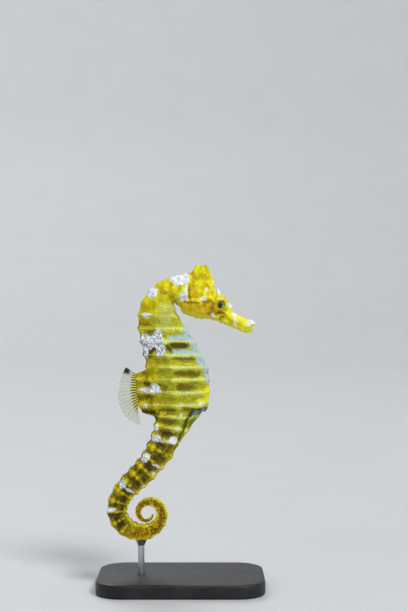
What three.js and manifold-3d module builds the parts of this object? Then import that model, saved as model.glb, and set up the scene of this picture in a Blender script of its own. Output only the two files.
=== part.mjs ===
// A seahorse, life-size, with its tail coiled, on a small display stand.
// Millimetres, +Z up. The nose points along +X, and the animal's left side is +Y.
// The origin is on the surface that the stand rests on, in the middle of its base.
//
// The body is one lofted form. Its stations run from the tip of the tail (station 0) up the
// bony rings of the tail, trunk and neck, and on through the head to the mouth. Each station
// is a flat section with a middle-of-back point, a middle-of-belly point and a half width,
// and the named pieces are stretches of the loft with a small gap between them.

import * as THREE from "three";
import { ParametricGeometry } from "three/addons/geometries/ParametricGeometry.js";
import { mergeVertices } from "three/addons/utils/BufferGeometryUtils.js";
import Module from "manifold-3d";

// ---------------------------------------------------------------- driving dimensions

const GAP = 0.3; // clearance between neighbouring pieces

// The trunk's bony rings from the tail root up to the nape:
// back x, back z, belly x, belly z, half width.
const TRUNK_RINGS = [
  [-13.9, 48.4, -6.4, 43.2, 4.2],
  [-12.1, 51.9, -2.9, 46.9, 4.3],
  [-10.6, 55.4, -0.2, 51.5, 4.5],
  [-9.7, 58.7, 3.2, 56.6, 4.8],
  [-9.5, 62.0, 6.5, 61.2, 5.3],
  [-10.1, 65.9, 10.0, 65.8, 5.9],
  [-11.2, 70.4, 10.6, 70.4, 6.4],
  [-11.9, 75.1, 10.6, 75.1, 6.6],
  [-12.6, 79.6, 10.1, 79.5, 6.5],
  [-13.5, 84.1, 7.9, 83.8, 6.1],
  [-14.6, 88.8, 5.4, 88.7, 5.5],
  [-15.3, 93.5, 2.2, 93.2, 4.9],
  [-15.3, 98.4, -0.6, 97.6, 4.5],
  [-14.1, 102.9, -2.0, 100.6, 4.2],
  [-11.6, 107.1, -2.5, 102.0, 4.0],
  [-7.6, 110.3, -2.3, 102.7, 3.9],
  [-3.2, 112.0, -1.5, 101.9, 3.9],
  [1.1, 113.0, -0.2, 100.3, 4.0],
];

// The head from just behind the coronet to the mouth, in the same five columns.
const HEAD_STATIONS = [
  [4.0, 113.6, 1.8, 98.2, 4.2],
  [7.3, 113.9, 5.1, 97.0, 4.4],
  [10.6, 112.9, 7.9, 96.8, 4.3],
  [12.4, 107.4, 10.1, 96.6, 4.0],
  [14.9, 104.9, 12.6, 96.2, 3.4],
  [17.3, 102.6, 14.8, 95.3, 2.6],
  [18.8, 99.3, 17.0, 94.3, 2.0],
  [21.3, 97.9, 19.9, 93.2, 1.7],
  [23.8, 96.8, 22.7, 91.9, 1.6],
  [26.0, 96.2, 24.9, 91.9, 1.7],
  [26.9, 95.3, 26.3, 93.0, 1.2],
];

// The tail's centre line starts at the root and turns as it goes.
const TAIL = {
  rings: 31,
  length: 68,
  rootX: -10.2,
  rootZ: 45.8,
  rootHeading: -124.4, // degrees from +X, +Z up
  rootDepth: 9.15,
  tipDepth: 0.8,
  taper: 1.24,
  crowding: 1.9, // how much closer the rings stand toward the tip
  widthShare: 0.46, // half width as a share of depth
};

// Degrees turned in each millimetre, at distances from the tail root.
const TAIL_TURN = [
  [0, -2.2],
  [8, -0.8],
  [16, 3.8],
  [24, 7.8],
  [32, 6.0],
  [40, 7.3],
  [48, 12.2],
  [56, 13.5],
  [62, 19.2],
  [68, 26.4],
];

// Stations where the form changes, counted from the tail tip.
const TAIL_ROOT = TAIL.rings;
const NAPE = TAIL_ROOT + TRUNK_RINGS.length - 1;
const LAST_STATION = NAPE + HEAD_STATIONS.length;
const NECK_TOP = NAPE - 1.5;
const NECK_BASE = NAPE - 6.5;
const SNOUT_ROOT = NAPE + 6.7;

// The tail's lengths below its root, as stretches of stations from the root to the tip.
const TAIL_LENGTHS = [[24.5, 29], [20, 24.5], [15, 20], [9, 15], [0, 9]];

// Half sections at the corners, from the middle of the back round to the middle of the belly:
// how far toward the back (in half depths) and how far out (in half widths).
const CORNERS = [0, 0.05, 0.1, 1 / 6, 1 / 2, 5 / 6, 1];
const TAIL_SECTION = [
  [0.84, 0], [0.86, 0.25], [0.89, 0.5], [0.95, 0.92], [0, 0.88], [-0.96, 0.86], [-0.86, 0],
];
const TRUNK_SECTION = [
  [0.95, 0], [0.96, 0.14], [0.98, 0.26], [1, 0.42], [0.22, 1], [-0.72, 0.64], [-1, 0],
];
const HEAD_SECTION = [
  [1, 0], [0.99, 0.12], [0.96, 0.24], [0.86, 0.42], [-0.12, 1], [-0.8, 0.62], [-1, 0],
];
const SNOUT_SECTION = [
  [1, 0], [0.98, 0.2], [0.92, 0.4], [0.82, 0.6], [0, 1], [-0.8, 0.62], [-1, 0],
];
const SECTIONS = [
  [0, TAIL_SECTION],
  [TAIL_ROOT, TAIL_SECTION],
  [TAIL_ROOT + 5, TRUNK_SECTION],
  [NAPE - 4, TRUNK_SECTION],
  [NAPE, HEAD_SECTION],
  [NAPE + 5, HEAD_SECTION],
  [SNOUT_ROOT, SNOUT_SECTION],
  [LAST_STATION, SNOUT_SECTION],
];

// Places round the half section where the loft has an edge.
const TAIL_EDGES = [0, 1 / 6, 1 / 2, 5 / 6, 1];
const TRUNK_EDGES = [0, 0.05, 0.1, 1 / 6, 1 / 3, 1 / 2, 2 / 3, 5 / 6, 0.92, 1];
const HEAD_EDGES = [0, 0.08, 1 / 6, 0.25, 1 / 3, 0.42, 1 / 2, 0.58, 2 / 3, 0.75, 5 / 6, 0.92, 1];

// How deep the skin dips between rings, and how far a tubercle stands out where a ridge
// crosses a ring, as shares of the half depth, and how strong both are along the body.
const RING_DIP = 0.04;
const TUBERCLE = 0.05;
const RING_STRENGTH = [
  [14, 0.3], [22, 0.5], [TAIL_ROOT, 0.8], [TAIL_ROOT + 5, 0.7], [NAPE - 3, 0.7], [NAPE + 0.5, 0],
];

// The raised base of the dorsal fin: its height, how much of it each station has, and how
// far out its top edge and its foot are, in half widths.
const FIN_BASE = {
  height: 5.3,
  rise: [
    [TAIL_ROOT + 3.9, 0], [TAIL_ROOT + 4.25, 1], [TAIL_ROOT + 5, 1.12],
    [TAIL_ROOT + 7.45, 0.95], [TAIL_ROOT + 7.8, 0],
  ],
  topEdge: 0.09,
  foot: 0.22,
};

const EYE = { x: 14.3, y: 2.15, z: 101.9, radius: 1.7, rim: 0.65 };

// The coronet: five low points on a short waist, drawn out along the head by a stretch.
const CORONET = {
  x: 7.1,
  z: 112.2,
  height: 3.7,
  base: 2.6,
  waist: 1.95,
  top: 0.95,
  stretch: 1.45,
  points: 5,
  flare: 0.15,
};

// Spines of the head: x, y, z of the root, lean from vertical toward the nose in degrees,
// length and root radius. Each one off the middle plane is made on both sides.
const SPINES = [
  [13.6, 2.0, 105.0, -8, 2.8, 0.9],
  [15.2, 1.3, 103.2, 22, 2.2, 0.9],
  [17.3, 0, 101.0, 40, 1.7, 1.0],
  [14.5, 1.4, 96.6, 180, 1.5, 0.7],
  [11.2, 3.3, 98.4, 150, 1.2, 0.7],
];

const MOUTH = { x: 26.6, z: 93.9, length: 2.6, opening: 0.5, slope: 14 };

// The brood pouch lies in front of a plane through two points of the middle plane.
const POUCH_PLANE = { top: [4.6, 65.0], bottom: [-3.2, 47.2], reach: 40 };
const POUCH_TOP = TAIL_ROOT + 4.72;

// Fins are fans of rays: where the first and last rays start, and for evenly spaced places
// between them the ray's direction (degrees from +X, +Z up) and its length.
const FIN_THICKNESS = 0.6;
const DORSAL_FIN = {
  first: [-17.2, 77.7],
  last: [-15.5, 62.9],
  rays: 18,
  directions: [145, 170, 191, 218, 280],
  lengths: [3.3, 5.4, 6.8, 6.6, 4.6],
};
const PECTORAL_FIN = {
  first: [-3.4, 102.6],
  last: [-2.4, 98.0],
  rays: 14,
  directions: [176, 190, 206, 224, 240],
  lengths: [4.8, 5.8, 6.6, 7.0, 7.2],
  offset: 5.1, // out from the middle plane at its root
  splay: 20, // degrees outward
};
const ANAL_FIN = {
  first: [6.2, 64.3],
  last: [6.2, 64.1],
  rays: 5,
  directions: [3, -2, -8, -14, -19],
  lengths: [3.9, 3.8, 3.6, 3.3, 3.0],
};

// The anal fin lies in a notch between the last trunk ring and the pouch: its corners in
// the middle plane, the innermost first.
const FIN_NOTCH = [[4.6, 64.6], [11.0, 65.4], [10.0, 62.2]];

const BASE = { length: 60, width: 40, height: 5, corner: 9, bevel: 0.8 };

// The rod stands under the lowest place of the tail and ends in a pad shaped to its bend.
const ROD = { radius: 1.2, socketDepth: 3, padRadius: 2.5, padHeight: 1.6, bendRadius: 9 };

// ---------------------------------------------------------------- small helpers

const radians = THREE.MathUtils.degToRad;
const lerp = THREE.MathUtils.lerp;

// The value at x of a table of [x, value] rows, straight between rows and flat past the ends.
// A value is a number, or an array of numbers or of arrays.
function lookUp(table, x) {
  const next = table.findIndex((row) => row[0] > x);
  if (next === 0) return table[0][1];
  if (next < 0) return table.at(-1)[1];
  const [x0, before] = table[next - 1];
  const [x1, after] = table[next];
  return blend(before, after, (x - x0) / (x1 - x0));
}

function blend(a, b, share) {
  if (Array.isArray(a)) return a.map((value, i) => blend(value, b[i], share));
  return lerp(a, b, share);
}

// The value a share of the way along a list of evenly spaced values.
function along(list, share) {
  return lookUp(list.map((value, i) => [i / (list.length - 1), value]), share);
}

// ---------------------------------------------------------------- the body's stations

// The tail's rings as rows like the trunk's, from the tip up to the ring next to the root.
function tailRings() {
  const steps = 1360;
  const step = TAIL.length / steps;
  const path = [];
  let [x, z, heading] = [TAIL.rootX, TAIL.rootZ, radians(TAIL.rootHeading)];
  for (let i = 0; i <= steps; i++) {
    path.push([x, z, heading]);
    heading += (radians(lookUp(TAIL_TURN, (i + 0.5) * step)) * step) / 2;
    x += Math.cos(heading) * step;
    z += Math.sin(heading) * step;
    heading += (radians(lookUp(TAIL_TURN, (i + 0.5) * step)) * step) / 2;
  }
  const rings = [];
  for (let ring = TAIL.rings; ring > 0; ring--) {
    const share = 1 - (1 - ring / TAIL.rings) ** TAIL.crowding;
    const [cx, cz, turn] = path[Math.round(share * steps)];
    const depth = TAIL.tipDepth + (TAIL.rootDepth - TAIL.tipDepth) * (1 - share ** TAIL.taper);
    const dx = (Math.sin(turn) * depth) / 2;
    const dz = (-Math.cos(turn) * depth) / 2;
    rings.push([cx + dx, cz + dz, cx - dx, cz - dz, depth * TAIL.widthShare]);
  }
  return rings;
}

const STATIONS = [...tailRings(), ...TRUNK_RINGS, ...HEAD_STATIONS];

// Smooth curves along the back and the belly. The back curve carries the half width as y.
const backCurve = new THREE.CatmullRomCurve3(
  STATIONS.map(([x, z, , , half]) => new THREE.Vector3(x, half, z)), false, "catmullrom",
);
const bellyCurve = new THREE.CatmullRomCurve3(
  STATIONS.map(([, , x, z]) => new THREE.Vector3(x, 0, z)), false, "catmullrom",
);

// The corners of the section at a station, with its dips, tubercles and fin base.
function cornersAt(station, halfDepth) {
  const strength = lookUp(RING_STRENGTH, station);
  const dip = RING_DIP * strength * Math.sin(Math.PI * station) ** 2;
  const crest = TUBERCLE * strength * Math.cos(Math.PI * station) ** 8;
  const ridges = [3, 4, 5];
  const corners = lookUp(SECTIONS, station).map(([back, out], i) => {
    const size = 1 - dip + (ridges.includes(i) ? crest : 0);
    return [back * size, out * size];
  });
  const rise = lookUp(FIN_BASE.rise, station);
  corners[0][0] += (rise * FIN_BASE.height) / halfDepth;
  corners[1][0] += (rise * FIN_BASE.height * 0.97) / halfDepth;
  corners[1][1] = lerp(corners[1][1], FIN_BASE.topEdge, rise);
  corners[2][1] = lerp(corners[2][1], FIN_BASE.foot, rise);
  return corners;
}

// A point of the skin: station along the body, and place round the half section
// (0 the middle of the back, 1 the middle of the belly) on the side +1 or -1.
function skinPoint(station, place, side, target) {
  const share = station / LAST_STATION;
  const back = backCurve.getPoint(share);
  const belly = bellyCurve.getPoint(share);
  const halfDepth = Math.hypot(back.x - belly.x, back.z - belly.z) / 2;
  const corners = cornersAt(station, halfDepth).map((corner, i) => [CORNERS[i], corner]);
  const [toBack, out] = lookUp(corners, place);
  const x = lerp(belly.x, back.x, (toBack + 1) / 2);
  const z = lerp(belly.z, back.z, (toBack + 1) / 2);
  return target.set(x, side * out * back.y, z);
}

// A closed stretch of the body. The first and last rows close to a point.
function bodyStretch(from, to, perStation, edges) {
  const count = Math.max(1, Math.round((to - from) * perStation));
  const start = Math.ceil(from * perStation + 0.25) / perStation;
  const rows = [from];
  for (let station = start; station < to - 0.25 / perStation; station += 1 / perStation) {
    if (station > from) rows.push(station);
  }
  rows.push(to);
  const half = edges.length - 1;
  const around = 2 * half;
  const stacks = rows.length + 1;
  const capCentre = new THREE.Vector3();
  const surface = (a, b, target) => {
    const row = Math.round(b * stacks);
    const column = Math.round(a * around) % around;
    const station = rows[THREE.MathUtils.clamp(row - 1, 0, rows.length - 1)];
    if (row === 0 || row === stacks) {
      skinPoint(station, 0.5, 1, capCentre);
      return target.set(capCentre.x, 0, capCentre.z);
    }
    const side = column <= half ? -1 : 1;
    const place = column <= half ? edges[column] : edges[around - column];
    return skinPoint(station, place, side, target);
  };
  return new ParametricGeometry(surface, around, stacks);
}

// ---------------------------------------------------------------- solids

const wasm = await Module();
wasm.setup();

// A closed geometry as a manifold-3d solid, its shared vertices merged and any
// triangle that has closed to a line left out.
function solid(geometry) {
  const open = geometry.clone();
  open.deleteAttribute("normal");
  open.deleteAttribute("uv");
  const merged = mergeVertices(open, 1e-4);
  const triangles = [];
  for (let i = 0; i < merged.index.count; i += 3) {
    const [a, b, c] = merged.index.array.slice(i, i + 3);
    if (a !== b && b !== c && c !== a) triangles.push(a, b, c);
  }
  return new wasm.Manifold(new wasm.Mesh({
    numProp: 3,
    vertProperties: merged.attributes.position.array,
    triVerts: new Uint32Array(triangles),
  }));
}

// A manifold-3d solid back as a geometry.
function geometryOf(manifold) {
  const mesh = manifold.getMesh();
  const geometry = new THREE.BufferGeometry();
  geometry.setAttribute("position", new THREE.BufferAttribute(mesh.vertProperties, mesh.numProp));
  geometry.setIndex(new THREE.BufferAttribute(mesh.triVerts, 1));
  geometry.computeVertexNormals();
  return geometry;
}

// ---------------------------------------------------------------- head, eyes, coronet

function eyeball(radius, side) {
  const ball = new THREE.SphereGeometry(radius, 16, 10);
  return ball.rotateX(Math.PI / 2).translate(EYE.x, side * EYE.y, EYE.z);
}

function spine([x, y, z, lean, length, radius], side) {
  const cone = new THREE.ConeGeometry(radius, length, 7, 1);
  cone.rotateX(Math.PI / 2).translate(0, 0, length / 2).rotateY(radians(lean));
  return cone.translate(x, side * y, z);
}

function headSolid() {
  let head = solid(bodyStretch(NECK_TOP + 0.05, SNOUT_ROOT, 3, HEAD_EDGES));
  for (const side of [1, -1]) {
    const turret = eyeball(EYE.radius + GAP + EYE.rim, side).translate(0, -side * EYE.rim * 1.4, 0);
    head = head.add(solid(turret));
    for (const row of SPINES) {
      if (row[1] > 0 || side > 0) head = head.add(solid(spine(row, side)));
    }
  }
  for (const side of [1, -1]) head = head.subtract(solid(eyeball(EYE.radius + GAP, side)));
  return head;
}

function snoutSolid() {
  const snout = solid(bodyStretch(SNOUT_ROOT + 0.11, LAST_STATION, 2, HEAD_EDGES));
  const slit = new THREE.BoxGeometry(MOUTH.length, 10, MOUTH.opening);
  slit.rotateY(radians(MOUTH.slope)).translate(MOUTH.x, 0, MOUTH.z);
  return snout.subtract(solid(slit));
}

// A short waisted column, its rim drawn out into points over a shallow cup.
function coronetSolid(head) {
  const profile = [
    new THREE.Vector2(0, 0),
    new THREE.Vector2(CORONET.base, 0),
    new THREE.Vector2(CORONET.waist, CORONET.height * 0.55),
    new THREE.Vector2(CORONET.top, CORONET.height),
    new THREE.Vector2(0, CORONET.height * 0.8),
  ];
  const crown = new THREE.LatheGeometry(profile, 4 * CORONET.points);
  const position = crown.attributes.position;
  const point = new THREE.Vector3();
  for (let i = 0; i < position.count; i++) {
    point.fromBufferAttribute(position, i);
    const radius = Math.hypot(point.x, point.z);
    const turn = Math.atan2(point.z, point.x);
    const height = point.y / CORONET.height;
    if (radius > 0.5 && height > 0.3) {
      const wave = Math.cos(CORONET.points * turn) * height;
      point.x *= 1 + CORONET.flare * wave;
      point.z *= 1 + CORONET.flare * wave;
      point.y += CORONET.flare * CORONET.height * wave * height;
      position.setXYZ(i, point.x, point.y, point.z);
    }
  }
  crown.rotateX(Math.PI / 2).scale(CORONET.stretch, 1, 1);
  crown.translate(CORONET.x, 0, CORONET.z);
  return solid(crown).subtract(solid(geometryOf(head).translate(0, 0, GAP)));
}

// ---------------------------------------------------------------- pouch and tail root

// A large box that holds the space of the pouch: its back face lies on the pouch plane and
// its lower face at the plane's bottom point, both moved outward by a distance.
function pouchSpace(grow) {
  const [topX, topZ] = POUCH_PLANE.top;
  const [bottomX, bottomZ] = POUCH_PLANE.bottom;
  const size = POUCH_PLANE.reach;
  const box = new THREE.BoxGeometry(size, size, size);
  box.translate(size / 2 - grow, 0, size / 2 - grow);
  box.rotateY(Math.atan2(topX - bottomX, topZ - bottomZ));
  return solid(box.translate(bottomX, 0, bottomZ));
}

function finNotch() {
  const shape = new THREE.Shape(FIN_NOTCH.map(([x, z]) => new THREE.Vector2(x, z)));
  const width = 2 * POUCH_PLANE.reach;
  const prism = new THREE.ExtrudeGeometry(shape, { depth: width, bevelEnabled: false });
  return solid(prism.translate(0, 0, -width / 2).rotateX(Math.PI / 2));
}

function tailRootStretch() {
  return solid(bodyStretch(TAIL_LENGTHS[0][1] + 0.04, POUCH_TOP, 4, TRUNK_EDGES));
}

// ---------------------------------------------------------------- fins

// The outline of a fan: down its root, then back round the tips of its rays, with a
// shallow notch in the skin between each two.
function finShape(fin) {
  const tip = (share, reach) => {
    const angle = radians(along(fin.directions, share));
    const length = along(fin.lengths, share) * reach;
    const x = lerp(fin.first[0], fin.last[0], share) + Math.cos(angle) * length;
    const z = lerp(fin.first[1], fin.last[1], share) + Math.sin(angle) * length;
    return new THREE.Vector2(x, z);
  };
  const outline = [tip(0, 0), tip(1, 0)];
  for (let ray = fin.rays - 1; ray >= 0; ray--) {
    outline.push(tip(ray / (fin.rays - 1), 1));
    if (ray > 0) outline.push(tip((ray - 0.5) / (fin.rays - 1), 0.95));
  }
  return new THREE.Shape(outline);
}

// The fan as a thin plate in the middle plane.
function finPlate(fin) {
  const plate = new THREE.ExtrudeGeometry(finShape(fin), {
    depth: FIN_THICKNESS,
    bevelEnabled: false,
  });
  return plate.translate(0, 0, -FIN_THICKNESS / 2).rotateX(Math.PI / 2);
}

// A pectoral fin stands out from the side of the neck, turned outward about its root.
function pectoralFin(side) {
  const [rootX] = PECTORAL_FIN.first;
  const plate = finPlate(PECTORAL_FIN).translate(-rootX, 0, 0);
  plate.rotateZ(-side * radians(PECTORAL_FIN.splay));
  return plate.translate(rootX, side * PECTORAL_FIN.offset, 0);
}

// ---------------------------------------------------------------- display stand

function standBase(lowest) {
  const shape = new THREE.Shape();
  const [x, y, r] = [BASE.length / 2 - BASE.bevel, BASE.width / 2 - BASE.bevel, BASE.corner];
  shape.moveTo(-x + r, -y);
  shape.lineTo(x - r, -y).absarc(x - r, -y + r, r, -Math.PI / 2, 0);
  shape.lineTo(x, y - r).absarc(x - r, y - r, r, 0, Math.PI / 2);
  shape.lineTo(-x + r, y).absarc(-x + r, y - r, r, Math.PI / 2, Math.PI);
  shape.lineTo(-x, -y + r).absarc(-x + r, -y + r, r, Math.PI, 1.5 * Math.PI);
  const slab = new THREE.ExtrudeGeometry(shape, {
    depth: BASE.height - 2 * BASE.bevel,
    bevelThickness: BASE.bevel,
    bevelSize: BASE.bevel,
    bevelSegments: 2,
    curveSegments: 6,
  });
  slab.translate(0, 0, BASE.bevel);
  const socket = new THREE.CylinderGeometry(ROD.radius + GAP, ROD.radius + GAP, 2 * ROD.socketDepth, 20);
  socket.rotateX(Math.PI / 2).translate(lowest.x, 0, BASE.height);
  return solid(slab).subtract(solid(socket));
}

// The lowest point of the tail's skin.
function lowestOfTail() {
  const lowest = new THREE.Vector3(0, 0, Infinity);
  const point = new THREE.Vector3();
  for (let station = 0; station < TAIL_ROOT; station += 0.05) {
    for (const edge of TAIL_EDGES) {
      skinPoint(station, edge, 1, point);
      if (point.z < lowest.z) lowest.copy(point);
    }
  }
  return lowest;
}

function standRod(lowest) {
  const foot = BASE.height - ROD.socketDepth + GAP;
  const top = lowest.z + ROD.padHeight / 2;
  const rod = new THREE.CylinderGeometry(ROD.radius, ROD.radius, top - foot, 20);
  rod.rotateX(Math.PI / 2).translate(lowest.x, 0, (top + foot) / 2);
  const pad = new THREE.CylinderGeometry(ROD.padRadius, ROD.radius * 0.9, 2 * ROD.padHeight, 20);
  pad.rotateX(Math.PI / 2).translate(lowest.x, 0, top - ROD.padHeight);
  const bend = new THREE.CylinderGeometry(ROD.bendRadius, ROD.bendRadius, 20, 64);
  bend.translate(lowest.x, 0, lowest.z + ROD.bendRadius - GAP);
  return solid(rod).add(solid(pad)).subtract(solid(bend));
}

// ---------------------------------------------------------------- the model

const seahorse = new THREE.Group();

const finish = (color, roughness, metalness = 0) => ({ color, roughness, metalness });
const SKIN = finish(0xcbb81c, 0.6);
const OLIVE_SKIN = finish(0x8a7a1e, 0.6);
const FIN = finish(0xcfd0b4, 0.4);
const EYE_GLOSS = finish(0x3d4a1a, 0.15);
const BLACK_STAND = finish(0x2a2a2c, 0.55);
const STEEL = finish(0xb4b6b8, 0.3, 1);

function add(name, shape, look) {
  const geometry = shape.isBufferGeometry ? shape : geometryOf(shape);
  const mesh = new THREE.Mesh(geometry, new THREE.MeshStandardMaterial(look));
  mesh.name = name;
  seahorse.add(mesh);
}

const head = headSolid();
add("head", head, SKIN);
add("snout", snoutSolid(), SKIN);
add("coronet", coronetSolid(head), SKIN);
add("eye_left", eyeball(EYE.radius, 1), EYE_GLOSS);
add("eye_right", eyeball(EYE.radius, -1), EYE_GLOSS);
add("neck", bodyStretch(NECK_BASE, NECK_TOP - 0.05, 4, TRUNK_EDGES), SKIN);
add("trunk", bodyStretch(POUCH_TOP + 0.07, NECK_BASE - 0.07, 4, TRUNK_EDGES), SKIN);
const pouch = tailRootStretch().intersect(pouchSpace(-GAP / 2)).subtract(finNotch());
add("brood_pouch", pouch, OLIVE_SKIN);
add("tail_1", tailRootStretch().subtract(pouchSpace(GAP / 2)), SKIN);
TAIL_LENGTHS.forEach(([from, to], i) => {
  const stretch = bodyStretch(from + 0.04, to - 0.04, 2, TAIL_EDGES);
  add("tail_" + (i + 2), stretch, i % 2 ? SKIN : OLIVE_SKIN);
});

add("dorsal_fin", finPlate(DORSAL_FIN), FIN);
add("pectoral_fin_left", pectoralFin(1), FIN);
add("pectoral_fin_right", pectoralFin(-1), FIN);
add("anal_fin", finPlate(ANAL_FIN), FIN);

const lowest = lowestOfTail();
add("stand_base", standBase(lowest), BLACK_STAND);
add("stand_rod", standRod(lowest), STEEL);

export default seahorse;
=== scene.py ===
# %% [markdown]
# # A yellow seahorse on a display stand
#
# This lesson builds the looks of a life-size model of a male seahorse. The construction, a
# set of named solids, is already packed as a fixed frame. Blender gives it one unbroken skin,
# clear fins, eyes and the finish of every surface. Lengths in the cells are in millimetres,
# except the floor's and the lights', and every point is turned into metres at the moment it
# goes into a mesh.

# %% Load the frame
import bpy
import bmesh
import math
from mathutils import Matrix, Vector, noise


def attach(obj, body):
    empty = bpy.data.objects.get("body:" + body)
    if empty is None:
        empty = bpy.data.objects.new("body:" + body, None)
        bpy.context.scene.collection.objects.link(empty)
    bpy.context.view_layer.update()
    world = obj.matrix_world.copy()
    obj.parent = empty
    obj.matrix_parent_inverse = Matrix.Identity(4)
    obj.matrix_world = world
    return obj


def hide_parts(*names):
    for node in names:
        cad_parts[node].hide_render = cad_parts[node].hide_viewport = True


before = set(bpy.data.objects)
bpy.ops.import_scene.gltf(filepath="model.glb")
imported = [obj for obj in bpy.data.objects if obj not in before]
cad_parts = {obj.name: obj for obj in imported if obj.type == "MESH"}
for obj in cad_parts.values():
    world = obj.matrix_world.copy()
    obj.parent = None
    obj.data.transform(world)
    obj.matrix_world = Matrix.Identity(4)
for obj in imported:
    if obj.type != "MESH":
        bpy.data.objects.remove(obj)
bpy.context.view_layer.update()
MM = 0.001

# %% [markdown]
# ## Camera
#
# The model is seen in strict profile, from its right side, with the camera level and about
# half a metre away, so that the tail's coil is seen slightly from above and the coronet
# slightly from below. The sensor's long side is the upright one, and a frame 221 mm tall at
# the model's middle plane gives the lens.

# %% Camera
CAMERA_PLACE = Vector((8.3, -450, 101.5))
FRAME_HEIGHT = 221
SENSOR_SIDE = 36
NEAREST = 10

camera_data = bpy.data.cameras.new("camera")
camera_data.sensor_width = SENSOR_SIDE
camera_data.lens = SENSOR_SIDE * -CAMERA_PLACE.y / FRAME_HEIGHT
camera_data.clip_start = NEAREST * MM
camera = bpy.data.objects.new("camera", camera_data)
camera.location = CAMERA_PLACE * MM
camera.rotation_euler = (math.pi / 2, 0, 0)
bpy.context.scene.collection.objects.link(camera)
bpy.context.scene.camera = camera
print("lens", round(camera_data.lens, 1), "mm")

# %% [markdown]
# ## Mesh helpers
#
# Most pieces here are a sheet wrapped onto a form: the skin round the body, a fin's skin
# over its rays, a spine round its own axis. Each could be sculpted, but then no size in it
# could be set. So one helper starts from a flat grid and sends each of its points to the
# place that a function gives, and another merges the points that meet along the seam.

# %% Curves and tables
def soft_step(low, high, value):
    """0 below low, 1 above high, and a smooth S between them."""
    share = min(1.0, max(0.0, (value - low) / (high - low)))
    return share * share * (3 - 2 * share)


def hump(value, width):
    """1 where value is 0, falling off smoothly on both sides over about a width."""
    return math.exp(-((value / width) ** 2))


def look_up(table, at):
    """The value in a table of (place, value) rows, straight between rows and flat past the ends."""
    if at <= table[0][0]:
        return table[0][1]
    for (low, before), (high, after) in zip(table, table[1:]):
        if at <= high:
            return blend(before, after, (at - low) / (high - low))
    return table[-1][1]


def blend(a, b, share):
    """Part of the way from a to b, for numbers and for lists or tuples of them."""
    if isinstance(a, (list, tuple)):
        return [blend(p, q, share) for p, q in zip(a, b)]
    return a + (b - a) * share


print("half way up a soft step:", soft_step(0, 1, 0.5))


# %% Grids, closing and finishing
MEETING = 0.0005  # points closer than this, in millimetres, are one point


def wrapped_grid(bm, columns, rows, place):
    """Adds a grid of columns by rows faces to bm, each point moved to place(across, along)
    in millimetres, where both run from 0 to 1. Returns the new vertices."""
    made = bmesh.ops.create_grid(bm, x_segments=columns, y_segments=rows, size=1, calc_uvs=True)
    for vert in made["verts"]:
        across = round((vert.co.x + 1) / 2 * columns) / columns
        along = round((vert.co.y + 1) / 2 * rows) / rows
        vert.co = place(across, along) * MM
    return made["verts"]


def closed_up(bm):
    """Merges the points that meet and turns all faces outward."""
    bmesh.ops.remove_doubles(bm, verts=bm.verts, dist=MEETING * MM)
    bmesh.ops.recalc_face_normals(bm, faces=bm.faces)


def finished(bm, name):
    """Turns bm into a smooth-shaded object at the origin, in the scene."""
    mesh = bpy.data.meshes.new(name)
    for face in bm.faces:
        face.smooth = True
    bm.to_mesh(mesh)
    bm.free()
    piece = bpy.data.objects.new(name, mesh)
    bpy.context.scene.collection.objects.link(piece)
    print(name + ":", len(mesh.polygons), "faces")
    return piece


print("a grid's points are merged within", MEETING, "mm")

# %% [markdown]
# ## The line of the body
#
# A seahorse is a fish in armour: some eleven bony rings round the trunk and over thirty
# round the tail, each a station of the body's form. A station has a point in the middle of
# the back, one in the middle of the belly, and a half width. The trunk and head are set down
# ring by ring, as the frame has them. The tail is a rule instead: its centre line turns
# slowly at first, then tighter and tighter, while the tail thins toward the tip.

# %% Stations of the trunk and the head
# Back x, back z, belly x, belly z, half width, from the tail root up to the nape.
TRUNK_RINGS = [
    (-13.9, 48.4, -6.4, 43.2, 4.2),
    (-12.1, 51.9, -2.9, 46.9, 4.3),
    (-10.6, 55.4, -0.2, 51.5, 4.5),
    (-9.7, 58.7, 3.2, 56.6, 4.8),
    (-9.5, 62.0, 6.5, 61.2, 5.3),
    (-10.1, 65.9, 10.0, 65.8, 5.9),
    (-11.2, 70.4, 10.6, 70.4, 6.4),
    (-11.9, 75.1, 10.6, 75.1, 6.6),
    (-12.6, 79.6, 10.1, 79.5, 6.5),
    (-13.5, 84.1, 7.9, 83.8, 6.1),
    (-14.6, 88.8, 5.4, 88.7, 5.5),
    (-15.3, 93.5, 2.2, 93.2, 4.9),
    (-15.3, 98.4, -0.6, 97.6, 4.5),
    (-14.1, 102.9, -2.0, 100.6, 4.2),
    (-11.6, 107.1, -2.5, 102.0, 4.0),
    (-7.6, 110.3, -2.3, 102.7, 3.9),
    (-3.2, 112.0, -1.5, 101.9, 3.9),
    (1.1, 113.0, -0.2, 100.3, 4.0),
]
# From just behind the coronet to the mouth.
HEAD_STATIONS = [
    (4.0, 113.6, 1.8, 98.2, 4.2),
    (7.3, 113.9, 5.1, 97.0, 4.4),
    (10.6, 112.9, 7.9, 96.8, 4.3),
    (12.4, 107.4, 10.1, 96.6, 4.0),
    (14.9, 104.9, 12.6, 96.2, 3.4),
    (17.3, 102.6, 14.8, 95.3, 2.6),
    (18.8, 99.3, 17.0, 94.3, 2.0),
    (21.3, 97.9, 19.9, 93.2, 1.7),
    (23.8, 96.8, 22.7, 91.9, 1.6),
    (26.0, 96.2, 24.9, 91.9, 1.7),
    (26.9, 95.3, 26.3, 93.0, 1.2),
]
print(len(TRUNK_RINGS), "rings of the trunk and neck,", len(HEAD_STATIONS), "stations of the head")

# %% Rings of the tail
TAIL_RINGS = 31
TAIL_LENGTH = 68
TAIL_START = (-10.2, 45.8)
TAIL_HEADING = -124.4  # degrees from +X, with +Z up
TAIL_ROOT_DEPTH, TAIL_TIP_DEPTH = 9.15, 0.8
TAIL_TAPER = 1.24
RING_CROWDING = 1.9
WIDTH_SHARE = 0.46
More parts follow.
